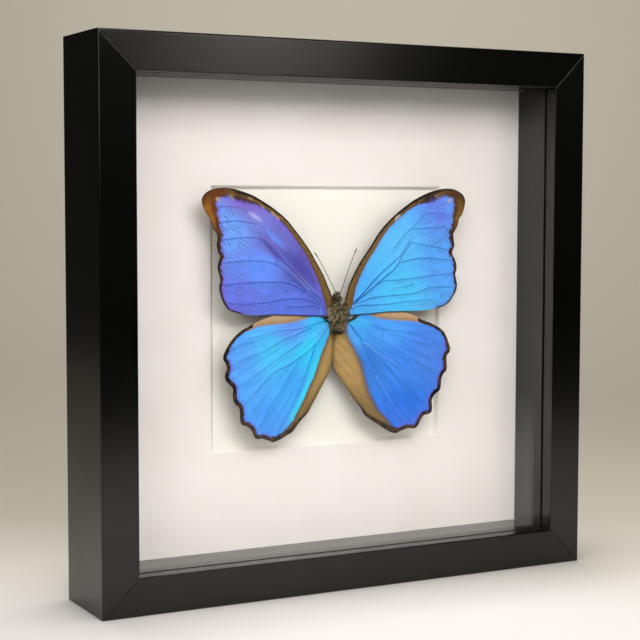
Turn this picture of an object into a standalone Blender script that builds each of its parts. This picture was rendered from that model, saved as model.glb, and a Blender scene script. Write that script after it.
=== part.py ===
"""A butterfly specimen mounted in a deep square box frame.

The frame stands upright on its bottom rail. X runs to the right, Y runs away from the viewer, from
the glass to the back, and Z runs up. The origin is the middle of the bottom face.
"""

import math

import bmesh
import bpy
from mathutils import Matrix, Vector

MM = 0.001
GAP = 0.3 * MM

# Frame: outside size and the L-shaped section of its rails
FRAME_SIDE = 250 * MM
FRAME_DEPTH = 44 * MM
FACE_WIDTH = 17 * MM
WALL = 10 * MM
LIP_DEPTH = 7 * MM
EDGE = 0.8 * MM

# What lies in the rebate, from the glass to the back
REBATE_PLAY = 0.5 * MM
GLASS_THICK = 2 * MM
SPACER_DEPTH = 22.1 * MM
MAT_THICK = 1.35 * MM
MAT_SIDE = 227.4 * MM
MAT_SHIFT = (0.95 * MM, -0.95 * MM)
WINDOW_SIDE = 120 * MM
BOARD_THICK = 3 * MM
BACK_THICK = 3 * MM

# Metalwork on the back
POINT_THICK = 0.5 * MM
POINT_WIDTH = 8 * MM
POINT_BITE = 5 * MM
POINT_REACH = 10 * MM
POINT_SPREAD = 60 * MM
NAIL_DEPTH = 8 * MM
NAIL_THICK = 0.8 * MM
NAIL_SETBACK = 4 * MM
NAIL_LEG = (5 * MM, 3 * MM)
HANGER_LENGTH = 45 * MM
HANGER_HEIGHT = 9 * MM
HANGER_THICK = 0.8 * MM
HANGER_BELOW_TOP = 26 * MM
HANGER_TEETH = 9
HANGER_HOLES = 17 * MM
RIVET_RADIUS = 1.2 * MM
RIVET_HEAD = 2.4 * MM

# Specimen: where it floats in the box, and how it is held
BODY_X = 0.2 * MM
BODY_Z = 126 * MM
DIHEDRAL = math.radians(1.5)
WING_THICK = 0.5 * MM
FOREWING_Y = 0.3 * MM
HINDWING_Y = 1.3 * MM
THORAX_CENTRE = (-0.5 * MM, 0.3 * MM, 126 * MM)
THORAX_FLATNESS = 0.72
HEAD_CENTRE = (-1.0 * MM, -0.8 * MM, 133.4 * MM)
HEAD_RADII = (2.5 * MM, 2.3 * MM, 2.8 * MM)
ANTENNA_RADIUS = 0.22 * MM
BLOCK_SIZE = (11 * MM, 13 * MM)

# Derived planes along Y
FRONT = -FRAME_DEPTH / 2
LIP_BACK = FRONT + LIP_DEPTH
GLASS_FRONT = LIP_BACK + GAP
SPACER_FRONT = GLASS_FRONT + GLASS_THICK + GAP
MAT_FRONT = SPACER_FRONT + SPACER_DEPTH + GAP
BOARD_FRONT = MAT_FRONT + MAT_THICK + GAP
BACK_FRONT = BOARD_FRONT + BOARD_THICK + GAP
POINT_FRONT = BACK_FRONT + BACK_THICK + GAP
REBATE_HALF = FRAME_SIDE / 2 - WALL
SIGHT_HALF = FRAME_SIDE / 2 - FACE_WIDTH
FRAME_MIDDLE = Vector((0, 0, FRAME_SIDE / 2))

# Rails are drawn as the bottom one and turned about Y, a quarter turn each
QUARTERS = {"bottom": 0, "right": 1, "top": 2, "left": 3}
CORNERS = {"bottom_right": 0, "top_right": 1, "top_left": 2, "bottom_left": 3}

# Wing outlines in mm, outwards and upwards from the middle of the body. Each wing is set out on its
# own, because the two sides of a specimen never match exactly.
WINGS = {
    "forewing_left": [
        (4, 3), (3.4, 8.5), (5.5, 13.5), (9.5, 21), (14.5, 29), (23, 39.5), (32.5, 48), (40, 52.5),
        (50, 56.7), (58, 58.2), (66.5, 56.8), (69.8, 53), (68.3, 48), (65.2, 43), (62.3, 36.5),
        (62.4, 32.5), (61, 27.5), (61.8, 23.5), (61, 17.5), (61.2, 12), (59, 6), (54, 2.4),
        (45, 0.6), (27, 0), (8, -1.2), (4, -1.8),
    ],
    "forewing_right": [
        (4, 3), (4.2, 8), (6.5, 14), (12.5, 25), (20.5, 35.5), (30.5, 45.5), (39, 51.8), (48, 56.2),
        (58, 58.3), (65.7, 57), (69.4, 52.5), (67.3, 46), (65.3, 41.4), (63, 37), (63.4, 31.5),
        (62.4, 27.5), (64.6, 21.5), (64, 17), (64.8, 12), (62.7, 6.5), (58.2, 2.2), (48.5, 0.3),
        (35, -0.1), (18, -0.7), (4, -1.8),
    ],
    "hindwing_left": [
        (4, -2), (10, 1), (20, 2.5), (28, 2), (35.7, -0.6), (45, -4), (52.7, -8.3), (57.5, -14),
        (59.1, -18.5), (57.3, -23), (58, -27.5), (54.5, -32.5), (54, -37.5), (51.2, -41),
        (50.7, -46.5), (48.5, -49.8), (44.3, -54), (41.5, -56.4), (37, -57), (33.5, -58.4),
        (28, -56.5), (23, -53.6), (18.5, -49), (13, -42.6), (8, -35.5), (3.8, -28.8), (1.6, -22.5),
        (1.3, -16), (1.3, -9), (2.5, -5),
    ],
    "hindwing_right": [
        (4, -2), (10, 1), (20, 2.5), (29, 2), (37, -0.6), (46, -4.3), (54.5, -8), (59.5, -12.8),
        (61.8, -18.8), (60, -23.5), (60.1, -28.5), (57.5, -33.5), (56.5, -38.8), (52.5, -43),
        (52.2, -48), (49.5, -50.6), (45.5, -53.5), (42.5, -56.8), (38, -56.8), (32.5, -58.5),
        (25.8, -56), (18.5, -51.3), (14.5, -47.8), (10.5, -42.3), (6.4, -36), (1.8, -28.6),
        (-0.4, -22.5), (-0.8, -16), (-0.8, -9), (1.5, -5),
    ],
}

# Radius of the thorax and of the abdomen's stub, in mm, at heights from the middle of the thorax
THORAX_PROFILE = [
    (0, 4.4), (1.3, 4.3), (2.9, 3.6), (4.2, 2.4), (5.0, 0.6), (4.9, -1.4), (4.3, -3.2), (3.4, -4.9),
    (2.3, -6.2), (1.5, -7.2), (1.3, -8.4), (0.8, -9.2), (0, -9.4),
]

# Antenna routes in mm from BODY_X and BODY_Z: across, depth, up
ANTENNAE = {
    "antenna_left": [(-1.9, -1, 10.8), (-3.4, -1.2, 12.9), (-6.6, -1.4, 18.3), (-9.9, -1.6, 23.8),
                     (-13.3, -1.8, 28.8)],
    "antenna_right": [(1.0, -1, 10.3), (1.8, -1.2, 12.6), (3.6, -1.4, 17.8), (6.0, -1.6, 23.8),
                      (8.8, -1.8, 30.3)],
}


def clear_scene():
    for obj in list(bpy.data.objects):
        bpy.data.objects.remove(obj, do_unlink=True)


def new_collection(name):
    found = bpy.data.collections.new(name)
    bpy.context.scene.collection.children.link(found)
    return found


def new_material(name, colour, roughness, metallic=0.0, alpha=1.0):
    made = bpy.data.materials.new(name)
    made.use_nodes = True
    made.diffuse_color = (*colour, alpha)
    shader = made.node_tree.nodes["Principled BSDF"]
    shader.inputs["Base Color"].default_value = (*colour, 1)
    shader.inputs["Roughness"].default_value = roughness
    shader.inputs["Metallic"].default_value = metallic
    shader.inputs["Alpha"].default_value = alpha
    return made


def place(name, data, material, place_matrix=None):
    """One named part in the specimen's collection."""
    obj = bpy.data.objects.new(name, data)
    PARTS.objects.link(obj)
    obj.data.materials.clear()
    obj.data.materials.append(material)
    obj.matrix_world = place_matrix or Matrix()
    return obj


def hide_cutter(obj):
    """Moves a helper to the cutters' collection, where no view or render shows it."""
    for holder in list(obj.users_collection):
        holder.objects.unlink(obj)
    CUTTERS.objects.link(obj)
    obj.hide_render = True
    obj.display_type = "WIRE"
    return obj


def cut(obj, cutters):
    for cutter in cutters:
        step = obj.modifiers.new("cut " + cutter.name, "BOOLEAN")
        step.operation = "DIFFERENCE"
        step.object = cutter
        step.solver = "EXACT"


def box_mesh(name, low, high):
    """A box between two corners, from a unit cube."""
    low, high = Vector(low), Vector(high)
    mesh = bpy.data.meshes.new(name)
    cube = bmesh.new()
    fit = Matrix.Translation((low + high) / 2) @ Matrix.Diagonal((*(high - low), 1))
    bmesh.ops.create_cube(cube, size=1, matrix=fit)
    cube.to_mesh(mesh)
    cube.free()
    return mesh


def flat_mesh(name, points, thickness, curved=False, resolution=3):
    """A flat outline in X and Y, filled and given a thickness along Z, as a welded mesh."""
    curve = bpy.data.curves.new(name, "CURVE")
    curve.dimensions = "2D"
    curve.fill_mode = "BOTH"
    curve.extrude = thickness / 2
    curve.resolution_u = resolution
    spline = curve.splines.new("BEZIER" if curved else "POLY")
    if curved:
        spline.bezier_points.add(len(points) - 1)
        for knot, (across, up) in zip(spline.bezier_points, points):
            knot.co = (across, up, 0)
            knot.handle_left_type = "AUTO"
            knot.handle_right_type = "AUTO"
    else:
        spline.points.add(len(points) - 1)
        for knot, (across, up) in zip(spline.points, points):
            knot.co = (across, up, 0, 1)
    spline.use_cyclic_u = True
    helper = bpy.data.objects.new(name, curve)
    bpy.context.scene.collection.objects.link(helper)
    bpy.context.view_layer.update()
    graph = bpy.context.evaluated_depsgraph_get()
    mesh = bpy.data.meshes.new_from_object(helper.evaluated_get(graph))
    bpy.data.objects.remove(helper, do_unlink=True)
    weld(mesh)
    return mesh


def weld(mesh):
    shape = bmesh.new()
    shape.from_mesh(mesh)
    bmesh.ops.remove_doubles(shape, verts=shape.verts, dist=0.001 * MM)
    bmesh.ops.recalc_face_normals(shape, faces=shape.faces)
    shape.to_mesh(mesh)
    shape.free()


def moved_mesh(mesh, matrix):
    copy = mesh.copy()
    copy.transform(matrix)
    return copy


def turned(name, profile, material, place_matrix, steps=24):
    """A body turned about Z from (radius, height) points, listed from top to bottom."""
    mesh = bpy.data.meshes.new(name)
    rows = [(radius, 0, height) for radius, height in profile]
    mesh.from_pydata(rows, [(i, i + 1) for i in range(len(rows) - 1)], [])
    obj = place(name, mesh, material, place_matrix)
    screw = obj.modifiers.new("turn", "SCREW")
    screw.axis = "Z"
    screw.steps = steps
    screw.render_steps = steps
    screw.use_merge_vertices = True
    screw.merge_threshold = 0.00001
    screw.use_smooth_shade = True
    return obj


def quarter_turn(count):
    """Turns what is drawn on the bottom rail to another rail, about the frame's middle."""
    return Matrix.Translation(FRAME_MIDDLE) @ Matrix.Rotation(-count * math.pi / 2, 4, "Y")


def box_part(name, low, high, material):
    return place(name, box_mesh(name, low, high), material)


def box_cutter(name, low, high, matrix):
    obj = place(name, moved_mesh(box_mesh(name, low, high), matrix), CUTTER_MATERIAL)
    return hide_cutter(obj)


def rail_mesh():
    """The bottom rail about the frame's middle: an L section with its edges broken, mitred."""
    section = [
        (EDGE, FRONT), (FACE_WIDTH - EDGE / 2, FRONT), (FACE_WIDTH, FRONT + EDGE / 2),
        (FACE_WIDTH, LIP_BACK), (WALL, LIP_BACK), (WALL, -FRONT), (EDGE, -FRONT), (0, -FRONT - EDGE),
        (0, FRONT + EDGE),
    ]
    mesh = flat_mesh("rail", section, FRAME_SIDE + 2 * MM)
    lie_down = Matrix(((0, 0, -1, 0), (0, 1, 0, 0), (1, 0, 0, -FRAME_SIDE / 2), (0, 0, 0, 1)))
    mesh.transform(lie_down)
    shape = bmesh.new()
    shape.from_mesh(mesh)
    for side in (-1, 1):
        everything = [*shape.verts, *shape.edges, *shape.faces]
        outward = Vector((side, 0, 1)).normalized()
        bmesh.ops.bisect_plane(
            shape, geom=everything, plane_co=-outward * GAP / 2, plane_no=outward, clear_outer=True
        )
        rim = [edge for edge in shape.edges if edge.is_boundary]
        bmesh.ops.holes_fill(shape, edges=rim, sides=0)
    bmesh.ops.recalc_face_normals(shape, faces=shape.faces)
    shape.to_mesh(mesh)
    shape.free()
    return mesh


def v_outline(thickness, extra):
    """The V nail's outline: two legs from an apex on the mitre, as (along the mitre, across it)."""
    along, across = NAIL_LEG
    lean = math.atan2(across, along)
    reach = math.hypot(along, across) + extra
    end = (reach * math.cos(lean), reach * math.sin(lean))
    side = (-math.sin(lean) * thickness / 2, math.cos(lean) * thickness / 2)
    tip = thickness / 2 / math.sin(lean)
    outer = (end[0] + side[0], end[1] + side[1])
    inner = (end[0] - side[0], end[1] - side[1])
    upper = [inner, outer]
    lower = [(outer[0], -outer[1]), (inner[0], -inner[1])]
    return [(-tip, 0), *lower, (tip, 0), *upper]


def corner_matrix(count, middle_y):
    """Stands a V nail on a mitre: local X along the mitre to the middle, local Z along Y."""
    corner = FRAME_SIDE / 2 - NAIL_SETBACK
    inward = Vector((-1, 0, 1)).normalized()
    sideways = Vector((-1, 0, -1)).normalized()
    depth = inward.cross(sideways)
    seat = Vector((corner, middle_y, -corner))
    turn = Matrix((
        (inward.x, sideways.x, depth.x, seat.x),
        (inward.y, sideways.y, depth.y, seat.y),
        (inward.z, sideways.z, depth.z, seat.z),
        (0, 0, 0, 1),
    ))
    return quarter_turn(count) @ turn


def point_outline(clearance):
    """A flexible point: a strip in the rail that narrows to a blunt arrow over the back."""
    half = POINT_WIDTH / 2 + clearance
    bite = -POINT_BITE - clearance
    return [
        (bite, -half), (0, -half), (POINT_REACH - 1.4 * MM, -half / 2), (POINT_REACH, 0),
        (POINT_REACH - 1.4 * MM, half / 2), (0, half), (bite, half),
    ]


def point_matrix(count, along):
    """Lays a point on a rail's rebate wall: local X towards the middle, local Z along Y."""
    seat = Vector((along, POINT_FRONT + POINT_THICK / 2, -REBATE_HALF))
    lay = Matrix(((0, 1, 0, seat.x), (0, 0, 1, seat.y), (1, 0, 0, seat.z), (0, 0, 0, 1)))
    return quarter_turn(count) @ lay


def make_frame():
    """Four rails with slots for the points and the V nails, and the metal that sits in them."""
    rails = {}
    mesh = rail_mesh()
    for side, count in QUARTERS.items():
        name = "frame_rail_" + side
        rails[side] = place(name, moved_mesh(mesh, quarter_turn(count)), BLACK_WOOD)

    slot_half = POINT_WIDTH / 2 + GAP
    for side, count in QUARTERS.items():
        for number, along in enumerate((-POINT_SPREAD, POINT_SPREAD), start=1):
            matrix = point_matrix(count, along)
            name = f"retaining_point_{side}_{number}"
            shape = flat_mesh(name, point_outline(0), POINT_THICK)
            place(name, moved_mesh(shape, matrix), ZINC)
            low = (-POINT_BITE - GAP, -slot_half, -POINT_THICK / 2 - GAP)
            high = (1 * MM, slot_half, POINT_THICK / 2 + GAP)
            cut(rails[side], [box_cutter(f"slot {side} {number}", low, high, matrix)])

    nail_middle = -FRONT - GAP - NAIL_DEPTH / 2
    for corner, count in CORNERS.items():
        matrix = corner_matrix(count, nail_middle)
        name = "corner_nail_" + corner
        nail = flat_mesh(name, v_outline(NAIL_THICK, 0), NAIL_DEPTH)
        place(name, moved_mesh(nail, matrix), ZINC)
        pocket = flat_mesh("pocket", v_outline(NAIL_THICK + 2 * GAP, GAP), NAIL_DEPTH + 4 * GAP)
        cutter = hide_cutter(place("pocket " + corner, moved_mesh(pocket, matrix), CUTTER_MATERIAL))
        neighbours = corner.split("_")
        cut(rails[neighbours[0]], [cutter])
        cut(rails[neighbours[1]], [cutter])


def square_sheet(name, side, front, thickness, material, shift=(0, 0)):
    """A square sheet that stands in the rebate."""
    middle = (shift[0], FRAME_SIDE / 2 + shift[1])
    low = (middle[0] - side / 2, front, middle[1] - side / 2)
    high = (middle[0] + side / 2, front + thickness, middle[1] + side / 2)
    return box_part(name, low, high, material)


def make_layers():
    """Glass, spacers, mat, board and back, from the front to the back of the rebate."""
    sheet_side = 2 * (REBATE_HALF - REBATE_PLAY)
    square_sheet("glass_pane", sheet_side, GLASS_FRONT, GLASS_THICK, GLASS)
    make_spacers()

    mat = square_sheet("mat", MAT_SIDE, MAT_FRONT, MAT_THICK, WHITE_CARD, MAT_SHIFT)
    cut(mat, [window_cutter()])

    square_sheet("mounting_board", sheet_side, BOARD_FRONT, BOARD_THICK, CREAM_CARD)
    back = square_sheet("back_panel", sheet_side, BACK_FRONT, BACK_THICK, HARDBOARD)
    make_hanger(back)


def make_spacers():
    """Strips flush with the lip's inner edge: top and bottom run through, the sides fit between."""
    outer = REBATE_HALF - GAP
    spans = {
        "bottom": ((-outer, -outer), (outer, -SIGHT_HALF)),
        "top": ((-outer, SIGHT_HALF), (outer, outer)),
        "right": ((SIGHT_HALF, -SIGHT_HALF + GAP), (outer, SIGHT_HALF - GAP)),
        "left": ((-outer, -SIGHT_HALF + GAP), (-SIGHT_HALF, SIGHT_HALF - GAP)),
    }
    for side, (low, high) in spans.items():
        box_part(
            "spacer_" + side,
            (low[0], SPACER_FRONT, low[1] + FRAME_SIDE / 2),
            (high[0], SPACER_FRONT + SPACER_DEPTH, high[1] + FRAME_SIDE / 2),
            BLACK_STRIP,
        )


def window_cutter():
    """A square frustum that cuts the window with a 45 degree bevel, wider at the front."""
    past = 1 * MM
    depth = MAT_THICK + 2 * past
    back_half = WINDOW_SIDE / 2 - past
    shape = bmesh.new()
    bmesh.ops.create_cone(
        shape, cap_ends=True, segments=4, depth=depth,
        radius1=(back_half + depth) * math.sqrt(2), radius2=back_half * math.sqrt(2),
    )
    middle = (MAT_SHIFT[0], MAT_FRONT + MAT_THICK / 2, FRAME_SIDE / 2 + MAT_SHIFT[1])
    face_front = Matrix.Rotation(-math.pi / 2, 4, "X") @ Matrix.Rotation(math.pi / 4, 4, "Z")
    mesh = bpy.data.meshes.new("window")
    shape.to_mesh(mesh)
    shape.free()
    mesh.transform(Matrix.Translation(middle) @ face_front)
    return hide_cutter(place("window cutter", mesh, CUTTER_MATERIAL))


def make_hanger(back):
    """A saw-tooth plate on the back panel, with two rivets through it into the panel."""
    half = HANGER_LENGTH / 2
    pitch = HANGER_LENGTH / 2 / HANGER_TEETH
    outline = [(-half, 0), (-half, HANGER_HEIGHT), (half, HANGER_HEIGHT), (half, 0)]
    for tooth in range(HANGER_TEETH):
        start = (HANGER_TEETH / 2 - tooth) * pitch
        outline += [(start, 0), (start - pitch / 2, 1.6 * MM)]
    outline.append((-HANGER_TEETH / 2 * pitch, 0))
    low_z = FRAME_SIDE - HANGER_BELOW_TOP - HANGER_HEIGHT
    seat = Vector((0, POINT_FRONT + HANGER_THICK / 2, low_z))
    stand = Matrix(((1, 0, 0, seat.x), (0, 0, -1, seat.y), (0, 1, 0, seat.z), (0, 0, 0, 1)))
    mesh = flat_mesh("hanger_plate", outline, HANGER_THICK)
    plate = place("hanger_plate", moved_mesh(mesh, stand), BRASSED_STEEL)

    plate_back = POINT_FRONT + HANGER_THICK
    tip = BACK_FRONT + 0.5 * MM
    rivet = [
        (0, plate_back + GAP + 0.9 * MM), (1.5 * MM, plate_back + GAP + 0.7 * MM),
        (RIVET_HEAD, plate_back + GAP), (RIVET_RADIUS, plate_back + GAP), (RIVET_RADIUS, tip), (0, tip),
    ]
    hole = RIVET_RADIUS + GAP
    drill = [(0, plate_back + 1 * MM), (hole, plate_back + 1 * MM), (hole, tip - GAP), (0, tip - GAP)]
    for side, across in (("left", -HANGER_HOLES), ("right", HANGER_HOLES)):
        height = low_z + HANGER_HEIGHT * 0.6
        along_y = Matrix.Translation((across, 0, height)) @ Matrix.Rotation(-math.pi / 2, 4, "X")
        turned("hanger_rivet_" + side, rivet, BRASSED_STEEL, along_y, steps=16)
        bore = hide_cutter(turned("drill " + side, drill, CUTTER_MATERIAL, along_y, steps=16))
        cut(plate, [bore])
        cut(back, [bore])


def grown(profile, extra):
    """A turned profile, a little larger all round, for cutting what meets it."""
    top, bottom = profile[0][1], profile[-1][1]
    body = [(radius + extra, height) for radius, height in profile[1:-1]]
    return [(0, top + extra), *body, (0, bottom - extra)]


def make_body():
    """Thorax, head, antennae and the block behind them. Returns the cutters for the wings' roots."""
    profile = [(radius * MM, height * MM) for radius, height in THORAX_PROFILE]
    flatten = Matrix.Translation(THORAX_CENTRE) @ Matrix.Diagonal((1, THORAX_FLATNESS, 1, 1))
    turned("thorax", profile, BROWN_FUR, flatten)
    around = grown(profile, 2 * GAP)
    thorax_room = hide_cutter(turned("thorax room", around, CUTTER_MATERIAL, flatten))

    head_room = None
    for name, extra in (("head", 0), ("head room", 1.5 * GAP)):
        bpy.ops.mesh.primitive_uv_sphere_add(segments=20, ring_count=12, radius=1)
        ball = bpy.context.object
        mesh = ball.data
        bpy.data.objects.remove(ball, do_unlink=True)
        mesh.transform(Matrix.Diagonal((*[radius + extra for radius in HEAD_RADII], 1)))
        mesh.shade_smooth()
        head_room = place(name, mesh, BROWN_FUR, Matrix.Translation(HEAD_CENTRE))
    hide_cutter(head_room)

    for name, route in ANTENNAE.items():
        make_antenna(name, route)

    back_y = THORAX_CENTRE[1] + max(radius for radius, _ in profile) * THORAX_FLATNESS + GAP
    width, height = BLOCK_SIZE
    box_part(
        "support_block",
        (THORAX_CENTRE[0] - width / 2, back_y, BODY_Z - height / 2),
        (THORAX_CENTRE[0] + width / 2, BOARD_FRONT - GAP, BODY_Z + height / 2),
        FOAM,
    )
    return [thorax_room, head_room]


def make_antenna(name, route):
    """A thin wire with a slightly thicker, blunt club at its tip."""
    curve = bpy.data.curves.new(name, "CURVE")
    curve.dimensions = "3D"
    curve.bevel_depth = ANTENNA_RADIUS
    curve.bevel_resolution = 2
    curve.use_fill_caps = True
    curve.resolution_u = 4
    spline = curve.splines.new("BEZIER")
    spline.bezier_points.add(len(route) - 1)
    for index, (knot, (across, depth, up)) in enumerate(zip(spline.bezier_points, route)):
        knot.co = (BODY_X + across * MM, depth * MM, BODY_Z + up * MM)
        knot.handle_left_type = "AUTO"
        knot.handle_right_type = "AUTO"
        knot.radius = 1.5 if index == len(route) - 1 else 1
    place(name, curve, BROWN_FUR)


def make_wings(body_cutters):
    """Four thin plates, tilted forwards a little towards their tips and cut clear of the body."""
    for name, outline in WINGS.items():
        mirror = -1 if name.endswith("left") else 1
        depth = FOREWING_Y if name.startswith("forewing") else HINDWING_Y
        points = [(across * mirror * MM, up * MM) for across, up in outline]
        mesh = flat_mesh(name, points, WING_THICK, curved=True)
        stand = Matrix.Rotation(math.pi / 2, 4, "X")
        lean = Matrix.Rotation(-mirror * DIHEDRAL, 4, "Z")
        seat = Matrix.Translation((BODY_X, depth, BODY_Z))
        wing = place(name, moved_mesh(mesh, seat @ lean @ stand), BLUE_WING)
        cut(wing, body_cutters)


clear_scene()
PARTS = new_collection("framed_butterfly")
CUTTERS = new_collection("cutters")
BLACK_WOOD = new_material("black lacquered wood", (0.012, 0.012, 0.010), 0.42)
BLACK_STRIP = new_material("black card strip", (0.030, 0.030, 0.026), 0.60)
GLASS = new_material("clear glass", (0.90, 0.93, 0.92), 0.03, alpha=0.2)
WHITE_CARD = new_material("white mat card", (0.90, 0.84, 0.82), 0.85)
CREAM_CARD = new_material("cream mounting card", (0.90, 0.86, 0.76), 0.85)
HARDBOARD = new_material("hardboard", (0.20, 0.11, 0.05), 0.75)
ZINC = new_material("zinc-plated steel", (0.60, 0.60, 0.58), 0.35, metallic=1.0)
BRASSED_STEEL = new_material("brassed steel", (0.66, 0.50, 0.22), 0.32, metallic=1.0)
FOAM = new_material("white foam", (0.85, 0.85, 0.82), 0.90)
BROWN_FUR = new_material("brown fur", (0.09, 0.045, 0.015), 0.80)
BLUE_WING = new_material("blue wing scales", (0.08, 0.30, 0.90), 0.40, metallic=0.4)
CUTTER_MATERIAL = new_material("cutter", (1, 0, 0), 1)
make_frame()
make_layers()
make_wings(make_body())
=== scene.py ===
"""Looks for the framed butterfly specimen: box frame, window mat, glass and the blue butterfly in it.

X runs to the right, Y from the glass to the back, Z up, all in metres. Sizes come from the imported
frame; the specimen's own shapes are laid out in millimetres from the middle of its body.
"""
import logging
import math
from collections.abc import Sequence
from dataclasses import dataclass, field
from enum import Enum

import bpy
import numpy as np
from mathutils import Matrix, Vector


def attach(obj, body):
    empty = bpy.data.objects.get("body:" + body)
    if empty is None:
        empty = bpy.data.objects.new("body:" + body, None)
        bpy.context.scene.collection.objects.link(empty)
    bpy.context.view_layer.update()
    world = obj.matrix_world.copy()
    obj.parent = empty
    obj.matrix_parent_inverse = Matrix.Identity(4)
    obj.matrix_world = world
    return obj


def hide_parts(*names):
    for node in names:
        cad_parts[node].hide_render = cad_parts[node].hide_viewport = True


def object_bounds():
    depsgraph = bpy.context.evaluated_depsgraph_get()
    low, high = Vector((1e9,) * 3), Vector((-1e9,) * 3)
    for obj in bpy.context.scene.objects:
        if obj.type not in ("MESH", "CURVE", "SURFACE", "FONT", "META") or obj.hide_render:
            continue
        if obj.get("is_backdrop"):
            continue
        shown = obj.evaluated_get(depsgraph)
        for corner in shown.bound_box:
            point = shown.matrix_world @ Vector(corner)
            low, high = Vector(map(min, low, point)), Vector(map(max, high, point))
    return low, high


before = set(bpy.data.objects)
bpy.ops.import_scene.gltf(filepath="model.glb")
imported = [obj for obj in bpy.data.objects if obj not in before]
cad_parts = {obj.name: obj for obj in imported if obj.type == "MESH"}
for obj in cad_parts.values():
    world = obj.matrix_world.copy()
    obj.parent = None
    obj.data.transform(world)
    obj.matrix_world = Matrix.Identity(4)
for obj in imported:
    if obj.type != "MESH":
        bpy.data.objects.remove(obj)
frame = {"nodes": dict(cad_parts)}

MM = 0.001
ROOT_BODY = "root"
LOG = logging.getLogger("framed_butterfly")

# Across and up, in mm, to the point that the wings and the antennae are laid out from.
WING_CENTRE = (0.2, 126.0)

norm = np.linalg.norm
Array = np.ndarray
Pair = tuple[float, float]
Triple = tuple[float, float, float]
Path = Sequence[Pair]
Measures = dict[str, Array]
Material = bpy.types.Material
Piece = bpy.types.Object
Node = bpy.types.Node
Tree = bpy.types.NodeTree
Socket = bpy.types.NodeSocket


class Side(Enum):
    """Which side of the body a paired piece is on, as the sign of X."""

    LEFT = -1
    RIGHT = 1


def shade(*display: float) -> Triple:
    """Turns a colour in display values from 0 to 255 into the linear values that shaders use.

    Args:
        *display: Red, green and blue from 0 to 255.

    Returns:
        The three linear values.
    """
    knee, slope, offset, power = 0.04045, 12.92, 0.055, 2.4
    values = np.array(display) / 255
    curve = ((values + offset) / (1 + offset)) ** power
    linear = np.where(values <= knee, values / slope, curve)
    return tuple(float(value) for value in linear)


def rise(low: float | Array, high: float | Array, value: Array) -> Array:
    """Rises from 0 at low to 1 at high along 3u^2 - 2u^3."""
    u = np.clip((value - low) / (high - low), 0, 1)
    return u * u * (3 - 2 * u)


def mixed(first: Array, second: Array | Triple, share: Array) -> Array:
    """Blends colours, point by point: first where share is 0, second where it is 1."""
    return first + (np.asarray(second) - first) * share[:, None]


def lengths_along(path: Array) -> Array:
    """How far along a polyline each of its points lies."""
    return np.concatenate([[0], np.cumsum(norm(np.diff(path, axis=0), axis=1))])


def curve_through(knots: Sequence[Sequence[float]], count: int) -> Array:
    """Lays a smooth curve through knots and returns points at equal distances along it.

    Each span is a cubic Hermite piece whose end slopes are the knots' central differences over the
    chord length; the dense result is then read off at even steps of its own length.

    Args:
        knots: Points that the curve passes through, in order.
        count: How many points to return.

    Returns:
        An array of count points with the knots' dimensions.
    """
    points_a_knot = 40
    fixed = np.asarray(knots, float)
    chord = lengths_along(fixed)
    slope = np.gradient(fixed, chord, axis=0)
    dense = np.linspace(0, chord[-1], points_a_knot * len(fixed))
    span = np.clip(np.searchsorted(chord, dense, side="right") - 1, 0, len(fixed) - 2)
    width = (chord[span + 1] - chord[span])[:, None]
    u = (dense - chord[span])[:, None] / width
    path = (
        (2 * u**3 - 3 * u**2 + 1) * fixed[span]
        + (u**3 - 2 * u**2 + u) * width * slope[span]
        + (3 * u**2 - 2 * u**3) * fixed[span + 1]
        + (u**3 - u**2) * width * slope[span + 1]
    )
    return evenly_along(path, count)


def evenly_along(path: Array, count: int) -> Array:
    """Reads a polyline off at count points that are the same distance apart along it.

    Args:
        path: The polyline's points.
        count: How many points to return.

    Returns:
        The points.
    """
    length = lengths_along(path)
    places = np.linspace(0, length[-1], count)
    return np.stack([np.interp(places, length, column) for column in path.T], axis=1)


def distance_to(points: Array, path: Array) -> tuple[Array, Array]:
    """Measures points against a polyline.

    Every point is dropped onto each segment, held between the segment's ends, and the nearest foot
    is kept.

    Args:
        points: Points of shape (n, 2).
        path: Polyline of shape (m, 2).

    Returns:
        The distance to the polyline, and how far along it the nearest foot lies, from 0 to 1.
    """
    smallest = 1e-12
    nearest = np.full(len(points), np.inf)
    along = np.zeros(len(points))
    last = len(path) - 1
    for number in range(last):
        start, step = path[number], path[number + 1] - path[number]
        share = np.clip((points - start) @ step / max(float(step @ step), smallest), 0, 1)
        gap = norm(points - start - share[:, None] * step, axis=1)
        closer = gap < nearest
        nearest = np.where(closer, gap, nearest)
        along = np.where(closer, (number + share) / last, along)
    return nearest, along


def ripple(points: Array, wavelength: float, seed: int, waves: int = 9) -> Array:
    """Smooth cloudy noise from about -1 to 1: a mean of sine waves in seeded random directions.

    Args:
        points: Points of shape (n, 2).
        wavelength: The usual length of a wave.
        seed: The seed of the random numbers.
        waves: How many waves are summed.

    Returns:
        A number for each point.
    """
    shortest, longest, usual_peak = 0.7, 1.6, 1.6
    draw = np.random.default_rng(seed)
    turns = draw.uniform(0, 2 * np.pi, waves)
    lengths = wavelength * draw.uniform(shortest, longest, waves)
    starts = draw.uniform(0, 2 * np.pi, waves)
    aims = np.stack([np.cos(turns), np.sin(turns)]) * (2 * np.pi / lengths)
    return np.sin(points @ aims + starts).sum(1) / math.sqrt(waves / 2) / usual_peak


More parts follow.
